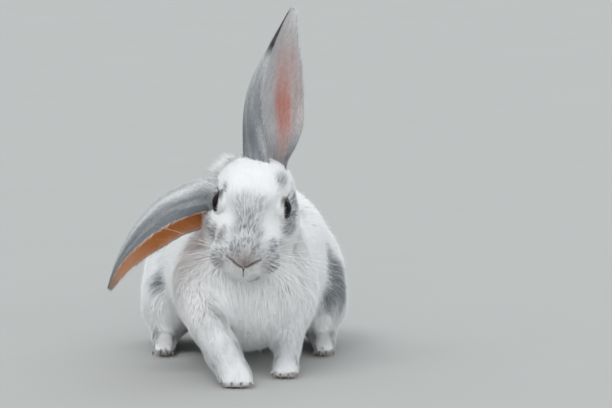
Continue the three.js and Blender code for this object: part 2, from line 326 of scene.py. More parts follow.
BODY_COAT = [
    ("back_front", (5, -58, 132), 20, (0, 1, -0.25), 17, 6, 0.55, 1.2),
    ("throat", (6, -101, 92), 20, (0, -0.15, -1), 20, 7, 0.5, 1.4),
    ("chest", (2, -98, 64), 22, (0, 0.1, -1), 22, 8, 0.5, 1.35),
    ("chest", (0, -84, 28), 20, (0, 0.7, -0.8), 19, 7, 0.52, 1.2),
    ("back_front", (0, -30, 117), 26, (0, 1, -0.05), 18, 7, 0.6, 1),
    ("back_rear", (0, 22, 128), 28, (0, 1, 0), 19, 7.5, 0.62, 0.95),
    ("back_rear", (-2, 72, 129), 28, (0, 1, -0.2), 20, 8, 0.62, 0.95),
    ("rump", (-2, 122, 88), 24, (0, 0.4, -0.9), 20, 8, 0.66, 0.8),
    ("rump", (-2, 132, 34), 24, (0, -0.1, -1), 17, 7, 0.66, 0.65),
    ("belly", (0, -30, 16), 28, (0, 1, 0), 15, 5, 0.8, 0.32),
    ("belly", (-2, 45, 12), 36, (0, 1, 0), 15, 5, 0.8, 0.28),
    ("tail", (-2, 154, 62), 20, (0, 0.35, 1), 15, 5.5, 0.46, 2.2),
    ("tail", (-2, 146, 44), 16, (0, 0.7, 0.7), 14, 5.5, 0.46, 2.2),
    ("tail", (-2, 142, 80), 16, (0, 0.1, 1), 12, 5.5, 0.46, 2.2),
]
BODY_COAT_PAIRS = [
    ("side", (38, -80, 92), 18, (0.25, 0.35, -0.9), 19, 7, 0.5, 1.35),
    ("side", (50, -56, 62), 20, (0.1, 0.5, -0.85), 18, 7, 0.54, 1.2),
    ("side", (57, -14, 72), 24, (0, 0.9, -0.45), 19, 7.5, 0.6, 1),
    ("side", (50, -22, 34), 22, (0, 0.8, -0.6), 18, 7, 0.6, 0.9),
    ("flank", (64, 32, 78), 26, (0, 0.9, -0.45), 19, 7.5, 0.6, 1),
    ("flank", (60, 82, 96), 24, (0, 0.8, -0.6), 19, 7.5, 0.62, 0.95),
    ("thigh", (74, 72, 56), 22, (0, 0.55, -0.85), 15, 6, 0.56, 1.1),
    ("thigh", (73, 38, 40), 15, (0, 0.25, -1), 12, 4.5, 0.5, 1.3),
    ("thigh", (62, 112, 46), 16, (0, 0.35, -0.95), 15, 6, 0.56, 1.1),
    ("thigh", (60, 18, 32), 12, (0, -0.3, -1), 11, 4, 0.48, 1.3),
    ("hind_foot", (59, 60, 20), 16, (0, -1, -0.1), 7, 2.4, 0.42, 1.9),
    ("hind_foot", (59, 98, 14), 14, (0, -0.7, -0.7), 8, 2.6, 0.42, 1.9),
    ("hind_foot", (59, 16, 14), 12, (0, -1, -0.15), 5.5, 1.6, 0.36, 2.6),
]
FORELEG_COAT = [
    ("foreleg_left", (34, -74, 40), 14, (0, -0.25, -1), 10, 3.5, 0.44, 1.7),
    ("foreleg_left", (30, -84, 22), 10, (0, -0.5, -0.9), 7, 2.2, 0.36, 2.0),
    ("foreleg_left", (29, -98, 14), 9, (0, -1, -0.3), 5, 1.5, 0.32, 2.3),
    ("foreleg_right", (-33, -90, 56), 15, (0.15, -0.5, -0.85), 11, 3.8, 0.46, 1.5),
    ("foreleg_right", (-23, -112, 38), 13, (0.2, -0.6, -0.8), 8, 2.6, 0.38, 1.9),
    ("foreleg_right", (-12, -134, 26), 11, (0.25, -0.8, -0.55), 5.5, 1.7, 0.32, 2.3),
    ("foreleg_right", (-6, -147, 14), 9, (0.1, -0.9, -0.5), 4.5, 1.4, 0.3, 2.6),
]
STRAIGHT = ("coat_face", "coat_hind_foot")  # pieces whose short tufts have no bend


def both_sides(coats):
    """Each place and its mirror image, named for its side."""
    result = []
    for coat in coats:
        for word, side in SIDES.items():
            place, comb = ((side * way[0], *way[1:]) for way in (coat.place, coat.comb))
            result.append(coat._replace(piece=f"{coat.piece}_{word}", place=place, comb=comb))
    return result


def coat_map():
    """All the places of the coat in the frame of the finished model."""
    head, head_pairs, body, body_pairs, forelegs = (
        [Coat("coat_" + name, *row) for name, *row in table]
        for table in (HEAD_COAT, HEAD_COAT_PAIRS, BODY_COAT, BODY_COAT_PAIRS, FORELEG_COAT)
    )
    head += both_sides(head_pairs)
    body += both_sides(body_pairs) + forelegs
    moved = [c._replace(place=from_head(c.place), comb=turned_with_head(c.comb)) for c in head]
    return moved + [c._replace(place=from_model(c.place)) for c in body]


COATS = coat_map()
COAT_PLACES = np.array([coat.place for coat in COATS])
COAT_REACHES = np.array([coat.reach for coat in COATS])
COAT_VALUES = np.array([[*unit(np.array(c.comb)), c.length, c.depth, c.width, c.density] for c in COATS])
COMB, LENGTH, DEPTH, WIDTH, DENSITY = slice(0, 3), 3, 4, 5, 6


def coat_weights(points):
    """How much each place of the map counts at each point."""
    away = norm(points[:, None, :] - COAT_PLACES[None])
    weights = (COAT_REACHES / np.maximum(away, 1)) ** 4
    return weights / weights.sum(axis=1, keepdims=True)


def coat_at(points):
    """The coat's values at points, in the columns above."""
    return coat_weights(points) @ COAT_VALUES


def coat_names(points):
    """The coat piece that each point belongs to."""
    strongest = [coat_weights(part).argmax(axis=1) for part in np.array_split(points, 12)]
    return np.array([coat.piece for coat in COATS])[np.concatenate(strongest)]


# ---- Ears: a leaf rolled round its rib, as in the solid model, with the skin just under its coat ----

EAR_PROFILE = np.array([  # from root to tip: half the leaf's width, and how far each side curls, in degrees
    [40.0, 170, 165],
    [40, 168, 150],
    [40, 156, 106],
    [40, 136, 68],
    [38, 119, 51],
    [33, 110, 46],
    [23.5, 100, 43],
    [12.5, 88, 42],
    [4, 60, 40],
])
EARS = {
    "left": {
        "axis": [[6, -78, 132], [4.5, -79, 166], [7.5, -79, 196], [18.5, -76, 226], [34, -72, 261]],
        "opening": (0.62, -0.78, 0),
        "inner": 1,
    },
    "right": {
        "axis": [
            [-8, -84, 141], [-30, -80, 140], [-53, -81, 130.5],
            [-74, -85, 111], [-89, -90, 86], [-97, -94, 64],
        ],
        "opening": (0.45, -0.5, -0.74),
        "inner": -1,
    },
}
EAR_THICKNESS = 2.6
THINNER_ACROSS = 0.45  # how much of that is gone at the leaf's margins
THINNER_ALONG = 0.3  # and at its tip
MARGIN_SQUARENESS = 14  # 2 makes a round margin, and more a blunt one
LINING_ROOM = 0.32  # the least radius of the lining, as a share of the leaf's
EAR_COAT = 0.45  # the depth of its coat
EAR_RINGS = 110
EAR_ACROSS = 56
EAR_ALONG = np.linspace(0, 1, EAR_RINGS)
ACROSS_EAR = np.linspace(-1, 1, EAR_ACROSS)


def smooth_curve(controls, count):
    """Points spaced evenly in length along the centripetal curve through some points."""
    controls = np.asarray(controls, float)
    ends = [2 * controls[0] - controls[1], 2 * controls[-1] - controls[-2]]
    guides = np.vstack([ends[0], controls, ends[1]])
    FINE = 200
    pieces = []
    for p0, p1, p2, p3 in zip(guides, guides[1:], guides[2:], guides[3:]):
        steps = [np.sqrt(max(np.linalg.norm(b - a), 1e-9)) for a, b in ((p0, p1), (p1, p2), (p2, p3))]
        t1 = steps[0]
        t2 = t1 + steps[1]
        t3 = t2 + steps[2]
        t = np.linspace(t1, t2, FINE, endpoint=False)[:, None]
        a1 = (t1 - t) / t1 * p0 + t / t1 * p1
        a2 = (t2 - t) / steps[1] * p1 + (t - t1) / steps[1] * p2
        a3 = (t3 - t) / steps[2] * p2 + (t - t2) / steps[2] * p3
        b1 = (t2 - t) / t2 * a1 + t / t2 * a2
        b2 = (t3 - t) / (t3 - t1) * a2 + (t - t1) / (t3 - t1) * a3
        pieces.append((t2 - t) / steps[1] * b1 + (t - t1) / steps[1] * b2)
    line = np.vstack([*pieces, controls[-1:]])
    travelled = np.concatenate([[0], np.cumsum(norm(np.diff(line, axis=0)))])
    wanted = np.linspace(0, travelled[-1], count)
    return np.stack([np.interp(wanted, travelled, column) for column in line.T], axis=1)


def ear_profile(rounds=40):
    """The profile's row for each ring, smoothed along the ear with the ends kept."""
    rows = np.linspace(0, 1, len(EAR_PROFILE))
    profile = np.stack([np.interp(EAR_ALONG, rows, column) for column in EAR_PROFILE.T], axis=1)
    for _ in range(rounds):
        profile = profile.copy()
        profile[1:-1] += 0.5 * ((profile[:-2] + profile[2:]) / 2 - profile[1:-1])
    return profile


def ear_grid(word):
    """The ear's skin: points [ring, across] of its outer face and of its lining, and the rings' tangents."""
    ear = EARS[word]
    rib = from_model(smooth_curve(ear["axis"], EAR_RINGS))
    tangent = unit(np.gradient(rib, axis=0))
    opening = np.array(ear["opening"], float)
    facing = across_from(np.broadcast_to(opening, tangent.shape), tangent)
    outward = np.cross(tangent, facing) * ear["inner"]
    profile = ear_profile()
    across = ACROSS_EAR[None]
    curl = np.radians(np.where(across < 0, profile[:, 1:2], profile[:, 2:3]))
    radius = profile[:, :1] / curl
    angle = across * curl
    thickness = EAR_THICKNESS * (1 - THINNER_ACROSS * across**2) * (1 - THINNER_ALONG * EAR_ALONG)[:, None]
    margin = np.sqrt(np.clip(1 - np.abs(across) ** MARGIN_SQUARENESS, 0, 1))
    within = np.maximum(radius - thickness + EAR_COAT, LINING_ROOM * radius)
    middle = (radius - EAR_COAT + within) / 2
    half = (radius - EAR_COAT - middle) * np.maximum(margin, 0.05)

    def place(r):
        sideways = outward[:, None] * (r * np.sin(angle))[..., None]
        forward = facing[:, None] * (radius - r * np.cos(angle))[..., None]
        return rib[:, None] + sideways + forward

    return {"outer": place(middle + half), "lining": place(middle - half), "tangent": tangent}


def ear_mesh(grid):
    loops = np.concatenate([grid["outer"], grid["lining"][:, ::-1]], axis=1)
    return mesh_of_grid("ear", loops)


# ---- Skin ----

FLESH = [
    "head",
    "neck",
    "trunk",
    "tail",
    *(f"{part}_{word}" for part in ("hind_leg", "hind_foot", "foreleg", "forepaw") for word in SIDES),
]
SWELL = 0.6  # closes the thin cuts between the solids
VOXEL = 2.5
EVEN = 0.5  # how far a point goes to its neighbours' mean in a round of smoothing
SOLIDS_ROUNDS = 10  # of smoothing of the joined solids
BODY_ROUNDS = 14  # and then only where the body is large and plain
BODY_EVEN = 0.6
LIFT_ROUNDS = 30  # of smoothing of the coat's depth under its surface
SKIN_ROUNDS = 4  # of smoothing of the skin in its place
HEAD_END = 24  # the head's y as far as which the skin has finer faces
NOSE_MIDDLE = (0, -46, -18)
FINE_ROUND_EYE = 16  # how far from an eye's centre and the nose's middle they are finer still
FINE_ROUND_NOSE = 21
CHIN_BELOW = 30  # how far the chin is below the head's middle


def swollen_flesh():
    """One mesh of the solids, each a little larger, with the eyeballs filling their sockets."""
    joined = bmesh.new()
    for name in [*FLESH, "eye_left", "eye_right"]:
        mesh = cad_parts[name].data.copy()
        with opened(mesh) as work:
            bmesh.ops.remove_doubles(work, verts=work.verts, dist=1e-6)
            work.normal_update()
            for vertex in work.verts:
                vertex.co += vertex.normal * SWELL * MM
        joined.from_mesh(mesh)
        bpy.data.meshes.remove(mesh)
    mesh = bpy.data.meshes.new("flesh")
    joined.to_mesh(mesh)
    joined.free()
    return mesh


def largest_island(work):
    """Deletes all but the largest connected part of a bmesh."""
    left = set(work.verts)
    islands = []
    while left:
        queue = [left.pop()]
        island = set(queue)
        while queue:
            for edge in queue.pop().link_edges:
                for vertex in edge.verts:
                    if vertex in left:
                        left.discard(vertex)
                        island.add(vertex)
                        queue.append(vertex)
        islands.append(island)
    islands.sort(key=len)
    for island in islands[:-1]:
        bmesh.ops.delete(work, geom=list(island), context="VERTS")


def refine(work, wanted):
    """Halves the edges whose both ends are wanted. wanted takes and returns arrays."""
    points = np.array([vertex.co for vertex in work.verts]) / MM
    for vertex, chosen in zip(work.verts, wanted(points)):
        vertex.tag = bool(chosen)
    edges = [edge for edge in work.edges if edge.verts[0].tag and edge.verts[1].tag]
    bmesh.ops.subdivide_edges(work, edges=edges, cuts=1, use_grid_fill=True)


def near_head(points):
    return to_head(points)[:, 1] < HEAD_END


def near_features(points):
    """Round the eyes, and the front of the muzzle."""
    local = to_head(points)
    beside = np.abs(local[:, 0])
    to_eye = norm(np.column_stack([beside, local[:, 1:]]) - EYE_SEAT)
    to_nose = norm(local - NOSE_MIDDLE)
    return (to_eye < FINE_ROUND_EYE) | (to_nose < FINE_ROUND_NOSE)


def body_share(points):
    """0 on the head, the feet and the tail, 1 on the large plain surfaces."""
    local = to_head(points)
    below_chin = np.maximum(-local[:, 2] - CHIN_BELOW, 0)
    off_head = ease(0, 34, local[:, 1] + 0.4 * below_chin)
    off_floor = ease(14, 40, points[:, 2])
    off_tail = ease(20, 34, norm(points - middle_of("tail")))
    behind_leg = ease(-96, -80, points[:, 1] - MODEL_SHIFT[1])
    off_leg = np.maximum(behind_leg, ease(70, 90, points[:, 2]))
    return np.clip(off_head * off_floor * off_tail * off_leg, 0, 1)


def eye_frame(side):
    """An eye's centre on the head, and from there the ways it looks, to its corner by the nose, and up."""
    mirror = np.array([side, 1, 1])
    axis = unit(EYE_AXIS * mirror)
    ahead = across_from(EYE_AHEAD * mirror, axis)
    upward = np.cross(axis, ahead) * -side
    return EYE_SEAT * mirror, axis, ahead, upward


def lid_point(polar, around, radius, side):
    """A point in polar angles about an eye's axis. around 0 is towards the nose."""
    seat, axis, ahead, upward = eye_frame(side)
    sideways = np.cos(around)[..., None] * ahead + np.sin(around)[..., None] * upward
    way = np.cos(polar)[..., None] * axis + np.sin(polar)[..., None] * sideways
    return from_head(seat + way * np.asarray(radius)[..., None])


OPENING_ACROSS = math.radians(56)
OPENING_UP = math.radians(48)
OPENING_SQUARENESS = 1.72  # 2 is an ellipse, and less has sharper corners
LID_GAP = 0.15
LID_THICKNESS = 0.8
LID_FILLET = 3.2  # how softly the lids' bulge runs out into the face
LID_LEAVES = (1.5, 7.5)  # from the opening to where the skin begins to leave the eyeball, and has left it
LID_FOLD = 4.4  # from the opening to the fold in the lids
FOLD_DEPTH = 0.4
FOLD_WIDTH = 1.1
LIDS_FULL = 12  # how far from the eye's centre the skin is laid round it, and where that ends
LIDS_END = 20
RIM_RADIUS = 0.4  # of the lids' rounded margin
RIM_OUT = 0.5  # how far in front of the eyeball its middle is


def turns(count):
    """Angles evenly spaced round a full turn."""
    return np.linspace(0, 2 * math.pi, count, endpoint=False)


def opening_at(around):
    """How far the opening between the lids reaches from the eye's axis, as an angle."""
    across = np.abs(np.cos(around) / OPENING_ACROSS) ** OPENING_SQUARENESS
    up = np.abs(np.sin(around) / OPENING_UP) ** OPENING_SQUARENESS
    return (across + up) ** (-1 / OPENING_SQUARENESS)


def round_eye(points, side):
    """How far points are from an eye's centre, how far beyond its opening, and the angle round its axis."""
    seat, axis, ahead, upward = eye_frame(side)
    offset = to_head(points) - seat
    radius = np.maximum(norm(offset), 1e-6)
    polar = np.arccos(np.clip(offset @ axis / radius, -1, 1))
    around = np.arctan2(offset @ upward, offset @ ahead)
    return radius, (polar - opening_at(around)) * EYE_RADIUS, around


def socket_mesh(side):
    """What is cut from the skin for an eyeball: a ball, and the opening between the lids in front of it."""
    around = turns(72)
    edge = opening_at(around)
    ball = EYE_RADIUS + LID_GAP
    before_face = EYE_RADIUS + 9.0
    rings = [(edge * share, before_face) for share in (0.02, 0.35, 0.7, 1)]
    rings += [(edge, EYE_RADIUS + 2.0), (edge, ball)]
    rings += [(edge + (math.pi - edge) * share, ball) for share in np.linspace(0.05, 0.99, 22)]
    grid = np.stack([lid_point(polar, around, radius, side) for polar, radius in rings])
    return mesh_of_grid("socket", grid)


def rim_mesh(side):
    """The rounded margin of the lids."""
    around = turns(96)
    edge = opening_at(around)
    sections = [
        lid_point(
            edge + RIM_RADIUS * math.cos(turn) / EYE_RADIUS,
            around,
            EYE_RADIUS + RIM_OUT + RIM_RADIUS * math.sin(turn),
            side,
        )
        for turn in turns(10)
    ]
    mesh = mesh_of_grid("rim", np.stack([*sections, sections[0]]), closed_ends=False)
    with opened(mesh) as work:
        bmesh.ops.remove_doubles(work, verts=work.verts, dist=1e-7)
        bmesh.ops.recalc_face_normals(work, faces=work.faces)
    return mesh


class Groove(NamedTuple):
    line: list  # in the head's x and z, for its left side and mirrored
    depth: float
    width: float
    shape: tuple  # the share of its depth at its start, and how much more in its middle and at its end
    # A groove's dark is painted shade in its crease.
    black: tuple  # how dark it is, and how wide the dark is
    bare: tuple  # from where to where the coat beside it sets in


NOSTRIL = Groove(
    [(0, -18.2), (3.5, -15.6), (7, -13), (11.5, -10.4)], 2.2, 1.1, (0.6, 0.4, 0), (1, 1.0), (0.6, 1.5)
)
PHILTRUM = Groove([(0, -18.2), (0, -30)], 1.8, 1.1, (1, 0, 0), (1, 0.9), (0.6, 1.4))
MOUTH = Groove(
    [(0, -29.5), (4, -31.5), (9, -33), (14, -33), (17, -31)], 0.9, 1.2, (1, 0, -0.8), (0.3, 0.9), (0, 1.4)
)
GROOVES_END = -30  # the head's y behind which there are none
LIP_PAD = (6.5, -50, -22)  # the full upper lip beside the cleft
LIP_FULLNESS = 0.7
LIP_WIDTH = 4.5


def distance_to_line(places, line):
    """From places to a line through some points, and where along it the nearest point is."""
    best = np.full(len(places), np.inf)
    share_along = np.zeros(len(places))
    line = np.asarray(line, float)
    for i, (a, b) in enumerate(zip(line, line[1:])):
        span = b - a
        share = np.clip((places - a) @ span / (span @ span), 0, 1)
        away = norm(places - a - share[:, None] * span)
        nearer = away < best
        best = np.where(nearer, away, best)
        share_along = np.where(nearer, (i + share) / (len(line) - 1), share_along)
    return best, share_along


def from_grooves(local):
    """Each groove, how far points of the head are from it as seen from in front, and where along it."""
    flat = np.column_stack([np.abs(local[:, 0]), local[:, 2]])
    behind = np.maximum(local[:, 1] - GROOVES_END, 0)
    for groove in (NOSTRIL, PHILTRUM, MOUTH):
        away, along = distance_to_line(flat, groove.line)
        yield groove, away + behind, along


def with_features(points, normals):
    """The head's skin with its nose, mouth and the bulge of the lids over the eyeballs."""
    local = to_head(points)
    sink = np.zeros(len(points))
    for groove, away, along in from_grooves(local):
        first, middle, last = groove.shape
        share = first + middle * np.sin(math.pi * along) + last * along
        sink += groove.depth * bell(away, groove.width) * share
    folded = np.column_stack([np.abs(local[:, 0]), local[:, 1:]])
    swell = LIP_FULLNESS * bell(norm(folded - LIP_PAD), LIP_WIDTH)
    points = points + normals * (swell - sink)[:, None]
    for side in SIDES.values():
        points = with_lids(points, side)
    return points


def with_lids(points, side):
    """The skin near an eye, laid round the eyeball as far as its lids reach."""
    seat = from_head(eye_frame(side)[0])
    radius, beyond, _ = round_eye(points, side)
    lid = EYE_RADIUS + LID_GAP + LID_THICKNESS
    sunk = radius - lid
    outward = lid + 0.5 * (sunk + np.sqrt(sunk * sunk + LID_FILLET**2))  # never less than the lid's radius
    hold = 1 - ease(*LID_LEAVES, beyond)
    wanted = lid * hold + outward * (1 - hold) - FOLD_DEPTH * bell(beyond - LID_FOLD, FOLD_WIDTH)
    close = (radius < LIDS_END) & (beyond < 14)
    fade = ease(LIDS_END, LIDS_FULL, radius)
    wanted = radius + (wanted - radius) * np.maximum(fade, sunk < 1)
    return np.where(close[:, None], seat + (points - seat) * (wanted / radius)[:, None], points)


def base_skin():
    """The flesh in one skin, smoothed, and lying under the coat's surface by the coat's depth."""
    piece = shown("skin", swollen_flesh())
    remesh = piece.modifiers.new("remesh", "REMESH")
    remesh.mode = "VOXEL"
    remesh.voxel_size = VOXEL * MM
    apply_modifiers(piece)
    mesh = piece.data
    with opened(mesh) as work:
        largest_island(work)
        refine(work, near_head)
        refine(work, near_features)
        bmesh.ops.triangulate(work, faces=work.faces)

    edges = edges_of(mesh)
    points = points_of(mesh)
    surface = BVHTree.FromPolygons((points * MM).tolist(), triangles_of(mesh).tolist())
    body = body_share(points)[:, None]
    points = relaxed(points, edges, EVEN, SOLIDS_ROUNDS)
    points = relaxed(points, edges, BODY_EVEN * body, BODY_ROUNDS)
    move_points(mesh, points)

    normals = normals_of(mesh)
    above = np.empty(len(points))
    for i, point in enumerate(points * MM):
        nearest, normal, _, away = surface.find_nearest(point)
        outside = (Vector(point) - nearest).dot(normal) > 0
        above[i] = (away if outside else -away) / MM
    depth = coat_at(points)[:, DEPTH] + SWELL
    lift = relaxed(-(depth + above)[:, None], edges, EVEN, LIFT_ROUNDS)
    points = relaxed(points + normals * lift, edges, EVEN, SKIN_ROUNDS)
    move_points(mesh, points)
    move_points(mesh, with_features(points, normals_of(mesh)))
    return piece


def build_skin(ear_grids):
    """The whole skin: the flesh with its eyes' openings and lids, and the ears."""
    piece = base_skin()
    for side in SIDES.values():
        combine(piece, socket_mesh(side), "DIFFERENCE")
        combine(piece, rim_mesh(side), "UNION")
    for word in SIDES:
        combine(piece, ear_mesh(ear_grids[word]), "UNION")
    mesh = piece.data
    mesh.name = "skin"
    with opened(mesh) as work:
        bmesh.ops.triangulate(work, faces=work.faces)
        largest_island(work)
    mesh.shade_smooth()
    return piece


def unwrap(piece):
    """Lays the skin's own shape out flat in the map OFBake."""
    bpy.context.view_layer.objects.active = piece
    piece.select_set(True)
    while piece.data.uv_layers:
        piece.data.uv_layers.remove(piece.data.uv_layers[0])
    piece.data.uv_layers.new(name="OFBake")
    bpy.ops.object.mode_set(mode="EDIT")
    bpy.ops.mesh.select_all(action="SELECT")
    bpy.ops.uv.smart_project(angle_limit=math.radians(66), island_margin=0.002)
    bpy.ops.object.mode_set(mode="OBJECT")


# ---- Markings: the same for skin and coat ----

HEAD_MARKS = [  # place and size on the head, how grey, how brown the grey is
    ((-1, -20, 11), (17, 18, 9), 0.58, 0.1),
    ((0, -36, 3), (17, 12, 9), 0.6, 0.15),
    ((0, -50, -7), (18, 10, 13), 0.66, 0.1),
    ((0, -50, -8), (12, 9, 10), 0.85, 0.1),
    ((14, -44, -3), (9, 9, 8), 0.42, 0.1),
    ((-14, -44, -3), (9, 9, 8), 0.36, 0.2),
    ((21, -35, -9), (9, 9, 6), 0.78, 0.1),
    ((25, -24, -17), (6, 7, 6), 0.55, 0.1),
    ((19, -45, -16), (9, 10, 10), 0.7, 0.4),
    ((-19, -45, -15), (9, 10, 10), 0.76, 0.4),
    ((-19, -30, -6), (9, 9, 6), 0.72, 0.3),
    ((-26, -18, -16), (7, 8, 8), 0.7, 0.2),
    ((-32, -8, -16), (6, 8, 8), 0.6, 0),
    ((32, 11, -4), (10, 10, 10), 0.85, 0),
    ((31, -1, -11), (9, 9, 9), 0.95, 0),
    ((28, -11, -11), (7, 7, 7), 0.8, 0),
    ((20, 12, 15), (7, 8, 6), 0.55, 0),
    ((-21, 2, 10), (4, 5, 4), 0.75, 0),
    ((-31, 9, -4), (7, 8, 8), 0.7, 0),
    ((0, -44, -33), (10, 8, 4), 0.25, 0.8),
]
BODY_MARKS_AND_SHADE = [
    ((-64, 22, 55), (11, 14, 12), 0.8, 0),
    ((-46, -60, 70), (7, 10, 8), 0.45, 0),
    # The next two rows grey the forelegs and paws a little: painted shade.
    ((-16, -128, 24), (30, 44, 36), 0.24, 0),
    ((30, -88, 20), (20, 28, 30), 0.24, 0),
    ((67, 36, 54), (15, 26, 28), 0.88, 0),
    ((62, 24, 70), (10, 16, 14), 0.6, 0),
    ((61, 14, 42), (9, 13, 14), 0.8, 0),
    ((43, -46, 99), (6, 6, 5), 0.6, 0),
    ((-62, 66, 84), (18, 26, 20), 0.7, 0),
    ((15, 80, 124), (20, 32, 20), 0.7, 0),
    ((28, -4, 110), (18, 20, 14), 0.6, 0),
    ((-30, 10, 106), (14, 16, 14), 0.55, 0),
    ((-2, 124, 96), (14, 12, 12), 0.7, 0),
    ((-2, 148, 74), (9, 7, 12), 0.75, 0),
]
HEAD_GREY = (0.48, 0.3, 0.7)  # how much of it is even, in patches and in ticks
TICKS_DARK = (0.4, 0.8)  # of their noise, where a hair begins to be dark, and is
TICKS_FEWER = (-50, -42)  # the head's y as far as which there are fewest, and from which there are most
RAGGED = (0.4, 0.6)  # how much of the ragged edges of the body's patches is coarse, and fine
NOSE_PINK = 0.26
HEAD_COLOURS_END = (24, 34)  # the head's y where its marks fade out
HEAD_COLOURS_REACH = (62, 72)  # and how far from the middle of the eyes
LINER_MIDDLE = 1.9  # where the dark hair of the upper lid is darkest, as an angle round the eye
LINER_SPREAD = 0.7
LINER_WIDTH = (1.2, 4.5)  # from the opening to where it begins to fade, and ends
LINER_BLACK = 0.85
NOSE_PAD = ((0, -51, -12), (10, 6, 8))  # where pink skin shows through the short hair
TICK = 0.6  # the width of a tick, a lock of dark hairs
TICK_LONG = 0.26  # a tick's width as a share of its length
NEAR_EYE = 6  # how far in front of an eyeball its lids' hair is
ON_RIM = 2.5  # how far in front of it the bare rims of the lids are


def blobs(points, marks):
    """How grey and how brown each point is by the soft patches round some places."""
    grey = np.zeros(len(points))
    brown = np.zeros(len(points))
    for place, size, strength, warmth in marks:
        away = norm((points - place) / size)
        here = strength * (1 - ease(0.35, 1.35, away))
        brown = np.where(here > grey, warmth, brown)
        grey = 1 - (1 - grey) * (1 - here)
    return grey, brown


def ticks(local):
    """0 to 1 in streaks that run with the coat: up the bridge of the nose, and back along the cheeks."""
    upright = noise(local * (1, TICK_LONG, TICK_LONG), TICK, 35)
    level = noise(local * (TICK_LONG, TICK_LONG, 1), TICK, 36)
    beside = ease(12, 18, np.abs(local[:, 0]))
    return upright * (1 - beside) + level * beside


def coat_marks(points):
    """Grey, black, pink and brown of head and body at points of the finished model."""
    local = to_head(points)
    on_head = 1 - ease(*HEAD_COLOURS_END, local[:, 1])
    on_head = on_head * (1 - ease(*HEAD_COLOURS_REACH, norm(local)))
    head_grey, brown = blobs(local, HEAD_MARKS)
    ticked = ease(*TICKS_DARK, ticks(local)) * (0.35 + 0.65 * ease(*TICKS_FEWER, local[:, 1]))
    even, patchy, in_ticks = HEAD_GREY
    head_grey = np.clip(head_grey * (even + patchy * noise(points, 7, 31) + in_ticks * ticked), 0, 1)
    body = points - MODEL_SHIFT
    body_grey, _ = blobs(body, BODY_MARKS_AND_SHADE)
    ragged = noise(body, 14, 33) * RAGGED[0] + noise(body * (1, 0.35, 0.35), 3, 34) * RAGGED[1]
    body_grey = body_grey * ease(0.2, 0.8, 0.5 * body_grey + 0.8 * ragged)
    grey = np.maximum(head_grey * on_head, body_grey * (1 - on_head))
    place, size = NOSE_PAD
    pink = NOSE_PINK * bell(norm((local - place) / size), 1)
    black = np.zeros(len(points))
    for side in SIDES.values():
        radius, beyond, around = round_eye(points, side)
        upper = bell(around - LINER_MIDDLE, LINER_SPREAD) * (1 - ease(*LINER_WIDTH, beyond))
        black = np.maximum(black, LINER_BLACK * (upper * (radius < EYE_RADIUS + NEAR_EYE)))
    return np.clip(grey, 0, 1), black, pink, brown * on_head


class EarPlaces(NamedTuple):
    """Where points are on the ears. Along is -1 for those that aren't on one."""

    along: np.ndarray  # from 0 at the root to 1 at the tip
    across: np.ndarray  # from -1 at one margin to 1 at the other
    lining: np.ndarray  # 1 in the lining, 0 on the outer face
    right: np.ndarray  # 1 on the right ear, 0 on the left
    tangent: np.ndarray


def ear_places(points, ear_grids):
    """Finds the points that lie on an ear, and where on its leaf."""
    REACH = 1.0
    rows = []
    along = np.repeat(EAR_ALONG, EAR_ACROSS)
    across = np.tile(ACROSS_EAR, EAR_RINGS)
    for word, grid in ear_grids.items():
        tangent = np.repeat(grid["tangent"], EAR_ACROSS, axis=0)
        for face in ("outer", "lining"):
            lining = np.full(len(along), float(face == "lining"))
            right = np.full(len(along), float(word == "right"))
            rows.append(np.column_stack([grid[face].reshape(-1, 3), along, across, lining, right, tangent]))
    table = np.concatenate(rows)
    tree = tree_of(table[:, :3])
    found = np.full((len(points), 7), -1.0)
    for i, point in enumerate(points):
        _, index, away = tree.find(point)
        if away < REACH:
            found[i] = table[index, 3:]
    return EarPlaces(*found.T[:4], found[:, 4:])


OUTER_STREAKS = 0.5  # how much streaks change the grey of the ears' outer faces
LINING_STREAKS = 0.25
FLUSH = np.array([  # the pink band in the raised ear: along, where across, how wide, how strong
    [0.15, 0.66, 0.12, 0.10],
    [0.39, 0.63, 0.15, 0.95],
    [0.52, 0.58, 0.18, 1.00],
    [0.64, 0.52, 0.22, 0.60],
    [0.74, 0.45, 0.27, 0.40],
    [0.84, 0.35, 0.32, 0.10],
    [1.00, 0.30, 0.30, 0.00],
])


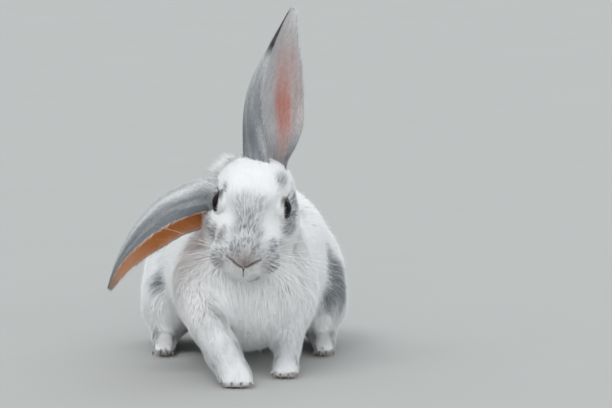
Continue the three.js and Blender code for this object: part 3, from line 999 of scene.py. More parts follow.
def ear_marks(places):
    """Grey, black and pink of points on the ears, by where they are on the leaf."""
    along, across = places.along, places.across
    right = places.right > 0.5
    inside = places.lining > 0.5
    leaf = np.column_stack([along * 60, across * 55, places.right * 99])
    streaks = noise(leaf * (0.35, 1, 1), 3.2, 41) * 0.6
    streaks += noise(leaf * (0.5, 1, 1), 8, 42) * 0.4
    edge = np.abs(across)

    # Grey: the left ear's outer face pales to its tip, and the right ear is darker at its margins and tip.
    left_outer = 0.84 - 0.34 * ease(0.3, 0.8, along)
    right_outer = 0.5 + 0.42 * ease(0.48, 0.7, edge) + 0.2 * ease(0.88, 0.97, along)
    outer = np.where(right, right_outer, left_outer) + OUTER_STREAKS * (streaks - 0.5)
    left_lining = 0.53 - 0.12 * ease(0.88, 0.98, along) + 0.12 * (1 - ease(0.18, 0.34, along))
    right_lining = 0.12 + 0.7 * ease(0.84, 0.97, along)
    lining = np.where(right, right_lining, left_lining) + LINING_STREAKS * (streaks - 0.5)

    # Pink: a band and a fainter field beside it in the left lining, and nearly all of the right one, where it
    # shows orange as painted light shining through the ear.
    centre, width, strength = (np.interp(along, FLUSH[:, 0], column) for column in FLUSH.T[1:])
    flush = strength * (1 - ease(0.45, 1.5, np.abs(across - centre) / width))
    lateral = 0.32 * ease(-0.1, 0.25, across - centre)
    lateral = lateral * (1 - ease(0.75, 0.9, along)) * ease(0.22, 0.4, along)
    left_pink = np.maximum(flush, lateral) + 0.06
    right_pink = 0.97 - 0.15 * ease(0.6, 0.85, along) - 0.5 * ease(0.87, 0.97, along)
    right_pink = right_pink - 0.25 * ease(0.92, 1, edge)
    pink = np.where(inside, np.where(right, right_pink, left_pink), 0)

    # Black: the left ear's inner margin near its tip.
    margin = ease(0.62, 0.8, -across) * ease(0.68, 0.78, along) * (1 - ease(0.965, 0.985, along))
    black = np.where(right, 0, margin)
    return np.clip(np.where(inside, lining, outer), 0, 1), black, pink


def all_marks(points, places):
    """Grey, black, pink and brown at points of the skin."""
    grey, black, pink, brown = coat_marks(points)
    on_ear = places.along >= 0
    ear = picked(places, on_ear)
    grey[on_ear], black[on_ear], pink[on_ear] = ear_marks(ear)
    # Warm in the right ear's lining turns its pink into the orange of painted light shining through the ear,
    # and its grey brown.
    brown[on_ear] = ear.right * ear.lining
    local = to_head(points)
    # Painted shade along the nostrils, the cleft of the lip and the mouth.
    for groove, away, _ in from_grooves(local):
        strength, reach = groove.black
        black = np.maximum(black, strength * bell(away, reach))
    for side in SIDES.values():
        radius, beyond, _ = round_eye(points, side)
        margin = (1 - ease(0.3, 0.9, beyond)) * (radius < EYE_RADIUS + ON_RIM)
        seat, _, ahead, _ = eye_frame(side)
        corner = (1 - ease(1.5, 4, norm(local - seat - ahead * EYE_RADIUS))) * margin
        black = np.maximum(black, margin - 0.85 * corner)
        pink = np.maximum(pink, corner)
    return np.column_stack([grey, black, pink]), brown


# ---- Materials ----

WHITE_HAIR = (0.955, 0.965, 0.97)
# The white below is a little darker than the hair's: painted shade deep in the coat, at the tufts' roots and
# on the skin under them.
WHITE_ROOT_SHADED = (0.91, 0.92, 0.925)
GREY_HAIR = (0.143, 0.168, 0.186)
BROWN_HAIR = (0.165, 0.135, 0.110)
BLACK_HAIR = (0.012, 0.011, 0.012)
PINK_SKIN = (0.50, 0.20, 0.155)
# The orange below stands in for light shining through the hanging ear's lining: painted light.
ORANGE_SKIN_LIT_THROUGH = (0.66, 0.22, 0.02)
VEIN = (0.33, 0.075, 0.065)
BLOTCH = (0.5, 0.42, 0.4)
IRIS = ((0.004, 0.002, 0.0015), (0.016, 0.007, 0.004))
LIMBUS = (0.004, 0.003, 0.003)
PUPIL = (0.002, 0.002, 0.003)


class Shading:
    """A material's nodes, with short ways to add and join them."""

    def __init__(self, name):
        self.material = bpy.data.materials.new(name)
        self.material.use_nodes = True
        self.tree = self.material.node_tree
        self.shader = self.tree.nodes["Principled BSDF"]

    def node(self, kind, **settings):
        node = self.tree.nodes.new(kind)
        for key, value in settings.items():
            setattr(node, key, value)
        return node

    def join(self, source, target):
        self.tree.links.new(source, target)

    def put(self, socket, value):
        if isinstance(value, bpy.types.NodeSocket):
            self.join(value, socket)
        elif isinstance(value, tuple) and len(value) == 3 and socket.type == "RGBA":
            socket.default_value = (*value, 1)
        else:
            socket.default_value = value

    def attribute(self, name):
        return self.node("ShaderNodeAttribute", attribute_name=name)

    def parts(self, name):
        """The three numbers of a vector attribute."""
        split = self.node("ShaderNodeSeparateXYZ")
        self.join(self.attribute(name).outputs["Vector"], split.inputs[0])
        return split.outputs[0], split.outputs[1], split.outputs[2]

    def mix(self, share, first, second, blend="MIX"):
        node = self.node("ShaderNodeMix", data_type="RGBA", blend_type=blend)
        self.put(node.inputs["Factor"], share)
        self.put(node.inputs[6], first)
        self.put(node.inputs[7], second)
        return node.outputs[2]

    def worked_out(self, kind, values, **settings):
        """A node's first output, with these values in its inputs."""
        node = self.node(kind, **settings)
        for socket, value in zip(node.inputs, values):
            self.put(socket, value)
        return node.outputs[0]

    def math(self, operation, *values):
        return self.worked_out("ShaderNodeMath", values, operation=operation)

    def ranged(self, value, low, high, to_low=0.0, to_high=1.0):
        return self.worked_out("ShaderNodeMapRange", (value, low, high, to_low, to_high))

    def noise(self, scale, detail, where=None):
        node = self.node("ShaderNodeTexNoise")
        node.inputs["Scale"].default_value = scale
        node.inputs["Detail"].default_value = detail
        self.join(where or self.node("ShaderNodeTexCoord").outputs["Object"], node.inputs["Vector"])
        return node.outputs["Fac"]

    def bump(self, height, strength, distance):
        node = self.node("ShaderNodeBump")
        node.inputs["Strength"].default_value = strength
        node.inputs["Distance"].default_value = distance
        self.join(height, node.inputs["Height"])
        self.join(node.outputs["Normal"], self.shader.inputs["Normal"])

    def finish(self, **values):
        for name, value in values.items():
            self.put(self.shader.inputs[name.replace("_", " ")], value)
        return self.material


def marked_colour(shading, white):
    """The colour that the marks give on this white."""
    grey, black, pink = shading.parts("marks")
    _, tone, warm = shading.parts("hair")
    dark = shading.mix(warm, GREY_HAIR, BROWN_HAIR)
    # Where warm, bare skin turns orange, which in the hanging ear's lining is painted light shining through
    # the ear.
    bare = shading.mix(warm, PINK_SKIN, ORANGE_SKIN_LIT_THROUGH)
    colour = shading.mix(grey, white, dark)
    colour = shading.mix(pink, colour, bare)
    colour = shading.mix(black, colour, BLACK_HAIR)
    shade = shading.ranged(tone, 0, 1, 0.93, 1.04)
    shade = shading.worked_out("ShaderNodeCombineColor", (shade, shade, shade))
    return shading.mix(1.0, colour, shade, "MULTIPLY")


def coat_material():
    shading = Shading("coat")
    tip, _, _ = shading.parts("hair")
    # Darker towards each tuft's root: painted shade within the coat.
    white = shading.mix(shading.ranged(tip, 0, 0.7), WHITE_ROOT_SHADED, WHITE_HAIR)
    colour = marked_colour(shading, white)
    shading.bump(shading.noise(900, 2), 0.15, 0.0004)
    return shading.finish(
        Base_Color=colour, Roughness=0.62, Specular_IOR_Level=0.25, Sheen_Weight=0.25, Sheen_Roughness=0.5
    )


def skin_material():
    """The skin, with fine veins where it is pink."""
    shading = Shading("skin")
    # The skin's white is the roots' darker white: painted shade under the coat.
    colour = marked_colour(shading, WHITE_ROOT_SHADED)
    stretched = shading.node("ShaderNodeMapping")
    shading.join(shading.attribute("leaf").outputs["Vector"], stretched.inputs["Vector"])
    stretched.inputs["Scale"].default_value = (3.0, 7.0, 1)
    branches = shading.noise(1.6, 2.5, stretched.outputs[0])
    ridge = shading.math("ABSOLUTE", shading.math("SUBTRACT", branches, 0.5))
    vein = shading.ranged(ridge, 0.0, 0.028, 1.0, 0.0)
    _, _, pink = shading.parts("marks")
    vein = shading.math("MULTIPLY", vein, shading.math("MULTIPLY", pink, 0.4))
    colour = shading.mix(vein, colour, VEIN)
    colour = shading.mix(shading.ranged(shading.noise(90, 4), 0.3, 0.7, 0, 0.18), colour, BLOTCH)
    shading.bump(shading.noise(700, 4), 0.35, 0.0006)
    return shading.finish(Base_Color=colour, Roughness=0.55, Specular_IOR_Level=0.3)


def eye_material():
    """A dark iris with rays, round a pupil. The attribute iris holds the angles from and round the axis."""
    shading = Shading("eye")
    polar, around, _ = shading.parts("iris")
    rays = (shading.math("MULTIPLY", around, 14.0), shading.math("MULTIPLY", polar, 1.3))
    streaks = shading.noise(2.2, 3, shading.worked_out("ShaderNodeCombineXYZ", rays))
    colour = shading.mix(streaks, *IRIS)
    colour = shading.mix(shading.ranged(polar, 0.80, 0.94), colour, LIMBUS)
    colour = shading.mix(shading.ranged(polar, 0.54, 0.60, 1, 0), colour, PUPIL)
    return shading.finish(Base_Color=colour, Roughness=0.05, IOR=1.336, Specular_IOR_Level=0.3)


def grained_material(name, grain, first, second, relief=None, **values):
    """A material that wavers between two colours. grain and relief begin with a noise's scale and detail."""
    shading = Shading(name)
    colour = shading.mix(shading.noise(*grain), first, second)
    if relief:
        scale, detail, strength, distance = relief
        shading.bump(shading.noise(scale, detail), strength, distance)
    return shading.finish(Base_Color=colour, **values)


# ---- Coat ----


class Tufts(NamedTuple):
    """Tufts of hair as arrays with one row for each tuft."""

    lines: np.ndarray  # [tuft, step, xyz], from root to tip
    normals: np.ndarray  # [tuft, step, xyz], the skin's under each step
    width: np.ndarray
    marks: np.ndarray  # grey, black and pink
    warm: np.ndarray
    tone: np.ndarray
    uv: np.ndarray


WIDTH_ALONG = {1: (1.0,), 2: (0.9, 0.8)}  # a tuft's width at its steps, for one or two of them
STRIDES = {1: (1.0,), 2: (0.45, 0.55)}  # the lengths of those steps, as shares of the tuft's
RIDGE = 0.36  # a tuft's height as a share of its half width
PATCH = 0.003  # a tuft's patch in the map
SKIN_NORMAL = 0.75  # how much the skin's normal and its own count in how it is shaded
TOP_NORMAL = 0.35
ROUNDING = 0.4  # how much its sides turn away


def tuft_faces(steps):
    """One tuft's triangles, with 1 for those that show from outside and -1 for those under it."""
    faces = [(0, 2, 1)]
    upward = [-1]
    last = 3 * (steps - 1)
    for ring in range(0, last, 3):
        for i in range(3):
            a, b = ring + i, ring + (i + 1) % 3
            faces += [(a, b, b + 3), (a, b + 3, a + 3)]
            upward += [1 if i < 2 else -1] * 2
    faces += [(last + i, last + (i + 1) % 3, last + 3) for i in range(3)]
    upward += [1, 1, -1]
    return np.array(faces), np.array(upward)


def tuft_mesh(name, tufts):
    """One closed mesh of tapering, three-sided tufts, shaded softly like the coat's surface."""
    steps = tufts.lines.shape[1] - 1
    count = len(tufts.lines)
    size = 3 * steps + 1
    along = unit(np.gradient(tufts.lines, axis=1))
    side = unit(np.cross(along, tufts.normals))
    top = unit(np.cross(side, along))
    soft = unit(SKIN_NORMAL * tufts.normals + TOP_NORMAL * top)
    side, top = side[:, :steps], top[:, :steps]
    half = (tufts.width / 2)[:, None] * np.array(WIDTH_ALONG[steps])
    corners = np.stack([-side, RIDGE * top, side], axis=2)
    rings = tufts.lines[:, :steps, None] + half[..., None, None] * corners
    points = np.concatenate([rings.reshape(count, -1, 3), tufts.lines[:, -1:]], axis=1)
    normals = unit(soft[:, :steps, None] + ROUNDING * np.stack([-side, 0 * side, side], axis=2))
    normals = np.concatenate([normals.reshape(count, -1, 3), soft[:, -1:]], axis=1)
    faces, upward = tuft_faces(steps)
    loop_normals = normals[:, faces] * upward[None, :, None, None]
    faces = (faces[None] + size * np.arange(count)[:, None, None]).reshape(-1, 3)

    mesh = bpy.data.meshes.new(name)
    mesh.vertices.add(size * count)
    put_numbers(mesh.vertices, "co", points * MM)
    mesh.loops.add(faces.size)
    put_numbers(mesh.loops, "vertex_index", faces, np.int32)
    mesh.polygons.add(len(faces))
    put_numbers(mesh.polygons, "loop_start", np.arange(0, faces.size, 3), np.int32)
    mesh.update(calc_edges=True)
    put_numbers(mesh.polygons, "use_smooth", np.ones(len(faces)), bool)
    mesh.normals_split_custom_set(loop_normals.reshape(-1, 3).astype(np.float32))

    share = np.concatenate([np.repeat(np.arange(steps) / steps, 3), [1.0]])
    offset = np.column_stack([np.concatenate([np.tile([-0.5, 0, 0.5], steps), [0]]), share - 0.5]) * PATCH
    patches = (tufts.uv[:, None] + offset[None]).reshape(-1, 2)
    put_numbers(mesh.uv_layers.new(name="OFBake").uv, "vector", patches[faces.ravel()])
    hair = np.broadcast_arrays(share[None], tufts.tone[:, None], tufts.warm[:, None])
    set_vectors(mesh, "hair", np.stack(hair, axis=2))
    set_vectors(mesh, "marks", np.repeat(tufts.marks, size, axis=0))
    return mesh


class Roots(NamedTuple):
    """Where tufts grow, as arrays with one row for each tuft."""

    points: np.ndarray
    normals: np.ndarray
    uv: np.ndarray
    places: EarPlaces


def corner_uvs(mesh):
    """Where the corners of each triangle are in the map."""
    uvs = numbers(mesh.uv_layers["OFBake"].uv, "vector", 2)
    return uvs[numbers(mesh.loop_triangles, "loops", 3, np.int32)]


def scatter(mesh, density, places):
    """Places tufts over the skin by a density for each of its triangles."""
    triangles = triangles_of(mesh)
    corners = points_of(mesh)[triangles]
    normals = normals_of(mesh)[triangles]
    area = norm(np.cross(corners[:, 1] - corners[:, 0], corners[:, 2] - corners[:, 0])) / 2
    expected = np.cumsum(area * density)
    count = int(expected[-1])
    picks = np.searchsorted(expected, (np.arange(count) + random.random(count)) * expected[-1] / count)
    picks = np.minimum(picks, len(triangles) - 1)
    a = np.sqrt(random.random(count))
    b = random.random(count)
    share = np.column_stack([1 - a, a * (1 - b), a * b])[..., None]
    nearest = triangles[picks, share[..., 0].argmax(axis=1)]
    return Roots(
        (corners[picks] * share).sum(axis=1),
        unit((normals[picks] * share).sum(axis=1)),
        (corner_uvs(mesh)[picks] * share).sum(axis=1),
        picked(places, nearest),
    )


SOLE_TOP = 1.2  # the height of the bare soles


def bare_places(points):
    """Where no tufts grow on head and feet: 1 is bare."""
    bare = np.zeros(len(points))
    for groove, away, _ in from_grooves(to_head(points)):
        bare = np.maximum(bare, 1 - ease(*groove.bare, away))
    for side in SIDES.values():
        radius, beyond, _ = round_eye(points, side)
        rim = (radius < EYE_RADIUS + ON_RIM) & (beyond < 0.5)
        socket = radius < EYE_RADIUS + 0.6
        bare = np.where(rim | socket, 1, bare)
    return np.where(points[:, 2] < SOLE_TOP, 1, bare)


class Ground:
    """The skin, to find its nearest place and normal from points near it."""

    def __init__(self, mesh):
        self.tree = BVHTree.FromPolygons(points_of(mesh).tolist(), triangles_of(mesh).tolist())

    def under(self, points):
        found = np.array([self.tree.find_nearest(point)[:2] for point in points]).reshape(-1, 2, 3)
        return found[:, 0], found[:, 1]


EYE_MARGIN = (1, 7)  # from the opening to where the coat is parted most, and no more
ASIDE = 0.12  # how far the coat turns away from the eye there
NOT_ONTO_EYE = 1.05  # and how much of its way onto the eye is taken back
ROUND_CORNER = 0.9  # how far it turns up or down at the corner by the nose
SHORTER_THERE = 0.6


def parted_round_eyes(points, ways):
    """The coat's ways, turned aside where it would cover an eye, and how much shorter it is there."""
    local = to_head(points)
    shorter = np.ones(len(points))
    for side in SIDES.values():
        seat, axis, ahead, upward = eye_frame(side)
        radius, beyond, around = round_eye(points, side)
        outward = turned_with_head(across_from(local - seat, axis))
        along_lid = turned_with_head(np.cos(around)[:, None] * upward - np.sin(around)[:, None] * ahead)
        near = ((1 - ease(*EYE_MARGIN, beyond)) * (radius < EYE_RADIUS + 9))[:, None]
        parting = near * np.sign(around)[:, None] * bell(around, 1)[:, None]
        onto_eye = np.minimum(dot(ways, outward), 0)
        ways = ways + near * (ASIDE - NOT_ONTO_EYE * onto_eye) * outward + ROUND_CORNER * parting * along_lid
        shorter *= 1 - SHORTER_THERE * near[:, 0]
    return unit(ways), shorter


SINK = 0.4  # how far a root starts under the skin
WANDER = ((0.24, 22, 51), (0.11, 6.5, 61))  # how far its ways stray, over how many millimetres, and a seed
STRAY = 0.10  # how far each tuft strays by itself
FLYING = 0.05  # the share of thin tufts that stand off
FLYING_HEIGHT = 1.4
FLYING_WIDTH = 0.5
FOLLOW = 0.6  # how much of the normal before a step stays in the one after it
LAID_DOWN = 1.8  # more brings a tuft sooner to its full height
LOWEST = 0.25  # above the floor


def grow_coat(ground, roots, steps):
    """Tufts that follow the skin from their roots, in the way the coat lies."""
    count = len(roots.points)
    coat = coat_at(roots.points)
    wander = sum(far * vector_noise(roots.points, size, seed) for far, size, seed in WANDER)
    wander += STRAY * random.standard_normal((count, 3))
    way, shorter = parted_round_eyes(roots.points, coat[:, COMB])
    length = coat[:, LENGTH] * varied(count, 0.8, 0.4) * shorter
    length *= 0.86 + 0.28 * noise(roots.points, 8, 71)
    flying = random.random(count) < FLYING
    height = coat[:, DEPTH] * varied(count, 0.75, 0.4) * np.where(flying, FLYING_HEIGHT, 1) * shorter
    place, normal = roots.points, roots.normals
    line = [place - SINK * normal]
    under = [normal]
    share = 0
    for stride in STRIDES[steps]:
        direction = across_from(way + wander, normal)
        place, normal_here = ground.under(place + direction * (length * stride)[:, None])
        normal = unit(normal_here + FOLLOW * normal)
        share += stride
        line.append(place + normal * (height * (1 - (1 - share) ** LAID_DOWN))[:, None])
        under.append(normal)
        way = unit(coat_at(place)[:, COMB])
    lines = clumped(np.stack(line, axis=1), roots.points, 0.2 * ease(3, 14, coat[:, LENGTH]))
    lines[..., 2] = np.maximum(lines[..., 2], LOWEST)
    grey, black, pink, brown = coat_marks(0.4 * lines[:, 0] + 0.6 * lines[:, -1])  # where most of it shows
    fleck = random.random(count)
    grey = np.clip(grey + 0.7 * (fleck - 0.5) * ease(0.03, 0.3, grey), 0, 1)
    marks = np.column_stack([grey, black, 0.5 * pink])
    width = coat[:, WIDTH] * varied(count, 0.75, 0.5) * np.where(flying, FLYING_WIDTH, 1)
    return Tufts(lines, np.stack(under, axis=1), width, marks, brown, random.random(count), roots.uv)


CLUMP = 5  # tufts in a clump


def clumped(lines, roots, pull):
    """Draws each tuft's tip towards that of the leader of its clump."""
    count = len(lines)
    leaders = np.sort(random.permutation(count)[: max(count // CLUMP, 1)])
    tree = tree_of(roots[leaders])
    own = leaders[[tree.find(root)[1] for root in roots]]
    share = np.linspace(0, 1, lines.shape[1]) ** 1.6
    gap = lines[own] - lines
    close = 1 - ease(6, 14, norm(gap[:, 0]))
    return lines + gap * (pull * close)[:, None, None] * share[None, :, None]


EAR_HAIR = 2.4  # its length on the outer face
ROOT_HAIR = 3  # how much longer it is at the ear's root
LINING_HAIR = 3.0
FRINGE = 1.8  # how much longer the lining's is at the margins
EAR_TIP_HEIGHT = 0.42  # how far the hair's tips stand off the outer face, and the lining
LINING_TIP_HEIGHT = 0.55


def grow_ear_coat(roots):
    """Short flat hair on the ears, and longer pale hair at their margins and in their linings."""
    places = roots.places
    count = len(roots.points)
    edge = np.abs(places.across)
    inside = places.lining > 0.5
    spread = 0.16 * random.standard_normal((count, 3)) + 0.2 * vector_noise(roots.points, 7, 81)
    direction = across_from(places.tangent + spread, roots.normals)
    root_share = 1 - ease(0.02, 0.16, places.along)
    fringe = LINING_HAIR + FRINGE * ease(0.6, 0.95, edge)
    length = np.where(inside, fringe, EAR_HAIR + ROOT_HAIR * root_share)
    length *= varied(count, 0.75, 0.5)
    height = np.where(inside, LINING_TIP_HEIGHT, EAR_TIP_HEIGHT + 0.6 * root_share) * varied(count, 0.7, 0.6)
    tip = roots.points + direction * length[:, None] + roots.normals * height[:, None]
    lines = np.stack([roots.points - 0.2 * roots.normals, tip], axis=1)
    grey, black, pink = ear_marks(places)
    fleck = random.random(count)
    flecked = ease(0.1, 0.95, grey + 0.5 * (fleck - 0.5))
    margin = ease(0.8, 0.95, edge)
    # The right lining's hair keeps most of the pink, which its warmth turns orange: painted light shining
    # through the ear.
    pink = pink * np.where(places.right > 0.5, 0.97 - 0.4 * margin, 0.6 - 0.48 * margin)
    marks = np.column_stack([flecked, black, pink])
    width = np.where(inside, 0.2, 0.28) * varied(count, 0.75, 0.5)
    warm = places.right * places.lining
    normals = np.repeat(roots.normals[:, None], 2, axis=1)
    return Tufts(lines, normals, width, marks, warm, random.random(count), roots.uv)


class Lock(NamedTuple):
    """A lock of longer hair on the head that lies over something or stands free."""

    piece: str
    root: tuple  # the middle of the patch where it grows
    size: tuple  # the patch's half sizes
    density: float
    way: tuple  # the way it leaves the skin
    tip_way: tuple  # the way its tips point
    length: float
    width: float
    grey: float


LOCKS = [
    Lock("coat_lock_eye", (-31, 3, -1), (4, 5, 9), 3.4, (0.7, -0.75, 0), (1, -0.45, -0.15), 9, 0.2, 0.75),
    Lock(
        "coat_lock_nape", (-24, 28, 8), (12, 9, 10), 1.6, (-0.6, 0.5, 0.5), (-0.95, 0.5, -0.05),
        12.5, 0.32, 0.08,
    ),
]


def grow_lock(mesh, places, lock):
    """A lock's tufts, which bend half way from the way they leave the skin to that of their tips."""
    middles = to_head(points_of(mesh)[triangles_of(mesh)].mean(axis=1))
    inside = norm((middles - lock.root) / lock.size) < 1
    roots = scatter(mesh, lock.density * inside, places)
    count = len(roots.points)
    stray = 0.12 * random.standard_normal((count, 3)) + 0.2 * vector_noise(roots.points, 5, 83)
    length = lock.length * varied(count, 0.7, 0.5)[:, None]
    first = unit(turned_with_head(lock.way) + stray)
    last = unit(turned_with_head(lock.tip_way) + stray)
    middle = roots.points + 0.45 * length * first
    lines = np.stack([roots.points - SINK * roots.normals, middle, middle + 0.55 * length * last], axis=1)
    marks = np.column_stack([lock.grey * varied(count, 0.5, 1), np.zeros((count, 2))])
    width = lock.width * varied(count, 0.7, 0.6)
    facing = np.repeat(roots.normals[:, None], 3, axis=1)
    return Tufts(lines, facing, width, marks, np.full(count, 0.5), random.random(count), roots.uv)


EAR_DENSITY = 2.4  # on the ears' outer faces
LINING_DENSITY = 0.8
FRINGE_DENSITY = 2.4  # how much more at the lining's margins
THINNER_RIGHT = 0.45  # how much of the right lining's is missing
DENSER_ROUND_EYES = 0.9


def coat_density(mesh, places):
    """Tufts for each square millimetre on each of the skin's triangles, off the ears and on them."""
    triangles = triangles_of(mesh)
    middles = points_of(mesh)[triangles].mean(axis=1)
    density = coat_at(middles)[:, DENSITY] * (1 - bare_places(middles))
    for side in SIDES.values():
        radius, beyond, _ = round_eye(middles, side)
        density *= 1 + DENSER_ROUND_EYES * (1 - ease(1, 6, beyond)) * (radius < EYE_RADIUS + NEAR_EYE)
    on_ear = (places.along[triangles] >= 0).all(axis=1)
    edge = np.abs(places.across[triangles]).mean(axis=1)
    inside = places.lining[triangles].mean(axis=1) > 0.5
    right = places.right[triangles].mean(axis=1)
    lining = (LINING_DENSITY + FRINGE_DENSITY * ease(0.55, 0.95, edge)) * (1 - THINNER_RIGHT * right)
    ear_density = np.where(inside, lining, EAR_DENSITY)
    return np.where(on_ear, 0, density), np.where(on_ear, ear_density, 0)


def build_coat(skin, places):
    """Adds all coat pieces."""
    mesh = skin.data
    ground = Ground(mesh)
    density, ear_density = coat_density(mesh, places)
    grown = {}
    roots = scatter(mesh, density, places)
    names = coat_names(roots.points)
    for name in sorted(set(names)):
        grown[name] = grow_coat(ground, picked(roots, names == name), 1 if name.startswith(STRAIGHT) else 2)
    ear_roots = scatter(mesh, ear_density, places)
    tufts = grow_ear_coat(ear_roots)
    for word, side in SIDES.items():
        grown[f"coat_ear_{word}"] = picked(tufts, (ear_roots.places.right > 0.5) == (side < 0))
    for lock in LOCKS:
        grown[lock.piece] = grow_lock(mesh, places, lock)
    material = coat_material()
    for name, tufts in grown.items():
        piece = shown(name, tuft_mesh(name, tufts))
        piece.data.materials.append(material)
        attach(piece, "root")
        "coat_grey" if "coat_ear" in piece.name else "coat_white"


# ---- Eyes, lashes and whiskers ----


CORNEA = 0.25  # how far it bulges
CORNEA_WIDTH = 0.75  # as an angle
EYE_ROOM = 0.05  # between the eyeball and the eye that it replaces


def build_eye(word, material):
    """An eyeball with a slightly bulging cornea."""
    side = SIDES[word]
    polar, around = np.meshgrid(np.linspace(0.03, math.pi - 0.03, 40), turns(64), indexing="ij")
    radius = EYE_RADIUS + CORNEA * bell(polar, CORNEA_WIDTH) - EYE_ROOM
    mesh = mesh_of_grid("eyeball", lid_point(polar, around, radius, side))
    mesh.shade_smooth()
    set_vectors(mesh, "iris", np.column_stack([polar.ravel(), around.ravel() * side, 0 * polar.ravel()]))
    mesh.materials.append(material)
    piece = shown(f"eyeball_{word}", mesh)
    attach(piece, "root")
    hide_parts(f"eye_{word}")


def hair_line(root, direction, droop, length, steps=7):
    """A hair that leaves along direction and bends towards droop."""
    share = np.linspace(0, 1, steps + 1)[:, None]
    return root + length * (share * unit(np.array(direction)) + share**2 * np.array(droop))


def hairs_mesh(name, lines, radius):
    """One mesh of thin tapering hairs with five sides."""
    AROUND = 5
    TAPER = 0.93
    turn = turns(AROUND)[None, :, None]
    grids = []
    for line in lines:
        tangent = unit(np.gradient(line, axis=0))
        side = across_from(np.broadcast_to([0.3, 0.2, 1.0], tangent.shape), tangent)
        other = np.cross(tangent, side)
        taper = radius * (1 - TAPER * np.linspace(0, 1, len(line)))[:, None, None]
        grids.append(line[:, None] + taper * (np.cos(turn) * side[:, None] + np.sin(turn) * other[:, None]))
    points = np.concatenate([grid.reshape(-1, 3) for grid in grids])
    faces = []
    start = 0
    for grid in grids:
        faces += [[start + i for i in face] for face in tube_faces(grid.shape[0], AROUND)]
        start += grid.shape[0] * AROUND
    mesh = bpy.data.meshes.new(name)
    mesh.from_pydata((points * MM).tolist(), [], faces)
    with opened(mesh) as work:
        bmesh.ops.recalc_face_normals(work, faces=work.faces)
    mesh.shade_smooth()
    return mesh


WHISKER_ROWS = [  # rows on each whisker pad, from the top: height, count, length, rise
    (-8, 4, 36, 0.2),
    (-12, 5, 46, 0.05),
    (-16, 6, 52, -0.15),
    (-20, 6, 50, -0.4),
    (-24, 5, 40, -0.7),
]


WHISKER_RADIUS = 0.12
LASH_RADIUS = 0.09
LASHES = 26  # on each side
LASH_ARC = (0.9, 2.9)  # where they are, as angles round the eye


def build_whiskers(ground):
    """Whiskers on both sides of the muzzle, and four longer hairs over each eye."""
    lines = []

    def add(place, way, droop, length):
        root, _ = ground.under(from_head(place)[None])
        lines.append(hair_line(root[0], turned_with_head(way), turned_with_head(droop), length))

    for side in SIDES.values():
        for height, count, length, rise in WHISKER_ROWS:
            for i in range(count):
                share = i / (count - 1)
                place = (side * (16 + 8 * share), -47 + 12 * share, height + 1.5 * random.random())
                way = np.array([side * (0.9 - 0.15 * share), -0.35 + 0.5 * share, rise])
                way += 0.09 * random.standard_normal(3)
                add(place, way, (0, 0.12, -0.26), length * varied(None, 0.75, 0.4))
        for i in range(4):
            way = np.array([side * 0.75, -0.35, 0.75]) + 0.1 * random.standard_normal(3)
            add((side * (19 - i), -6 + 3 * i, 13), way, (0, 0.2, 0.05), 26 - 3 * i)
    piece = shown("whiskers", hairs_mesh("whiskers", lines, WHISKER_RADIUS))
    piece.data.materials.append(grained_material(
        "whisker", (40, 2), (0.80, 0.81, 0.82), (0.92, 0.92, 0.93), Roughness=0.35, Specular_IOR_Level=0.5
    ))
    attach(piece, "root")


def build_lashes():
    """Short dark hairs along the upper lids."""
    lines = []
    for side in SIDES.values():
        for around in np.linspace(*LASH_ARC, LASHES):
            around += 0.05 * random.standard_normal()
            length = (2.6 + 2.4 * ease(1.2, 2.2, around)) * varied(None, 0.8, 0.4)
            around = np.array(around)
            edge = opening_at(around)
            root = lid_point(edge + 0.09, around, EYE_RADIUS + 1.1, side)
            way = lid_point(edge - 0.04, around, EYE_RADIUS + 3.0, side) - root
            rise = lid_point(edge + 0.5, around, EYE_RADIUS + 3.0, side) - root
            lines.append(hair_line(root, way, unit(rise) * 0.6, length, 4))
    piece = shown("lashes", hairs_mesh("lashes", lines, LASH_RADIUS))
    piece.data.materials.append(grained_material(
        "lash", (60, 2), (0.012, 0.011, 0.012), (0.03, 0.028, 0.028), Roughness=0.4
    ))
    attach(piece, "root")


# ---- Floor, light and camera ----

IMAGE_SIZE = (612, 408)
MM_PER_PIXEL = 0.70  # at the head
CAMERA_DISTANCE = 3000
CAMERA_ELEVATION = math.radians(6)
SENSOR_WIDTH = 36
KNOWN_PLACE = (0, -148, 0)  # a spot on the floor by the stepping paw, in the model's millimetres
KNOWN_PIXEL = (243, 388)  # where the photograph has it
FLOOR_REACH = 30  # metres


def build_camera():
    """Sets the camera where it sees the known place at its pixel."""
    across, down = (KNOWN_PIXEL[i] - IMAGE_SIZE[i] / 2 for i in range(2))
    upward = Vector((0, math.sin(CAMERA_ELEVATION), math.cos(CAMERA_ELEVATION)))
    backward = Vector((0, -math.cos(CAMERA_ELEVATION), math.sin(CAMERA_ELEVATION)))
    aim = Vector(from_model(KNOWN_PLACE))
    aim += Vector((-across * MM_PER_PIXEL, 0, 0)) + upward * down * MM_PER_PIXEL
    data = bpy.data.cameras.new("camera")
    data.sensor_width = SENSOR_WIDTH
    data.lens = SENSOR_WIDTH * CAMERA_DISTANCE / (IMAGE_SIZE[0] * MM_PER_PIXEL)
    data.clip_start = 0.05
    data.clip_end = 100
    camera = shown("camera", data)
    camera.location = (aim + backward * CAMERA_DISTANCE) * MM
    camera.rotation_euler = (math.pi / 2 - CAMERA_ELEVATION, 0, 0)
    bpy.context.scene.camera = camera


def build_light(name, place, width, strength):
    """A wide soft lamp far away in the direction of a place. width is the angle that it fills, in degrees."""
    data = bpy.data.lights.new(name, "SUN")
    data.angle = math.radians(width)
    data.energy = strength
    shown(name, data).rotation_euler = Vector(place).to_track_quat("Z", "Y").to_euler()


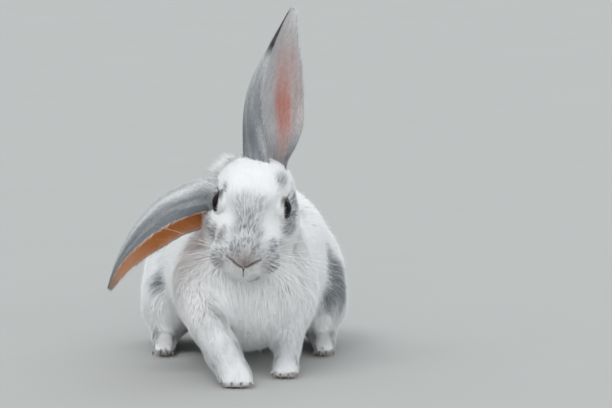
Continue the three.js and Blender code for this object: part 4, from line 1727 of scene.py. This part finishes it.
def build_studio():
    """The sky's light, three lamps and a plain floor."""
    world = bpy.data.worlds.new("studio")
    world.use_nodes = True
    background = world.node_tree.nodes["Background"]
    background.inputs["Color"].default_value = (0.95, 0.975, 1, 1)
    background.inputs["Strength"].default_value = 0.8
    bpy.context.scene.world = world
    build_light("key", (-0.45, -0.7, 1.2), 26, 0.95)
    build_light("front", (0.15, -1, 0.14), 60, 1.25)
    build_light("back", (0.5, 1, 1), 50, 0.35)

    mesh = bpy.data.meshes.new("floor")
    corners = [(x * FLOOR_REACH, y * FLOOR_REACH, 0) for x, y in ((-1, -1), (1, -1), (1, 1), (-1, 1))]
    mesh.from_pydata(corners, [], [(0, 1, 2, 3)])
    floor = shown("floor", mesh)
    mesh.materials.append(grained_material(
        "floor", (6, 2), (0.42, 0.43, 0.42), (0.44, 0.45, 0.44), Roughness=0.9, Specular_IOR_Level=0.2
    ))
    bpy.context.scene.view_settings.view_transform = "Standard"


build_camera()
build_studio()
ear_grids = {word: ear_grid(word) for word in SIDES}
skin = build_skin(ear_grids)
unwrap(skin)
skin_points = points_of(skin.data)
skin_places = ear_places(skin_points, ear_grids)
marks, warm = all_marks(skin_points, skin_places)
set_vectors(skin.data, "marks", marks)
set_vectors(skin.data, "hair", np.column_stack([0 * warm, noise(skin_points, 2.5, 91), warm]))
set_vectors(skin.data, "leaf", np.column_stack([skin_places.along, skin_places.across, skin_places.right]))
skin.data.materials.clear()
skin.data.materials.append(skin_material())
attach(skin, "root")
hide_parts(*FLESH, "ear_left", "ear_right")

build_coat(skin, skin_places)
eye_finish = eye_material()
for word in SIDES:
    build_eye(word, eye_finish)
build_whiskers(Ground(skin.data))
build_lashes()
claw_finish = grained_material(
    "claw", (420, 3), (0.13, 0.085, 0.06), (0.26, 0.19, 0.145), (800, 2, 0.2, 0.0003),
    Roughness=0.38, Specular_IOR_Level=0.5,
)
for name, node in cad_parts.items():
    if name.startswith("claw_"):
        node.data.materials.clear()
        node.data.materials.append(claw_finish)
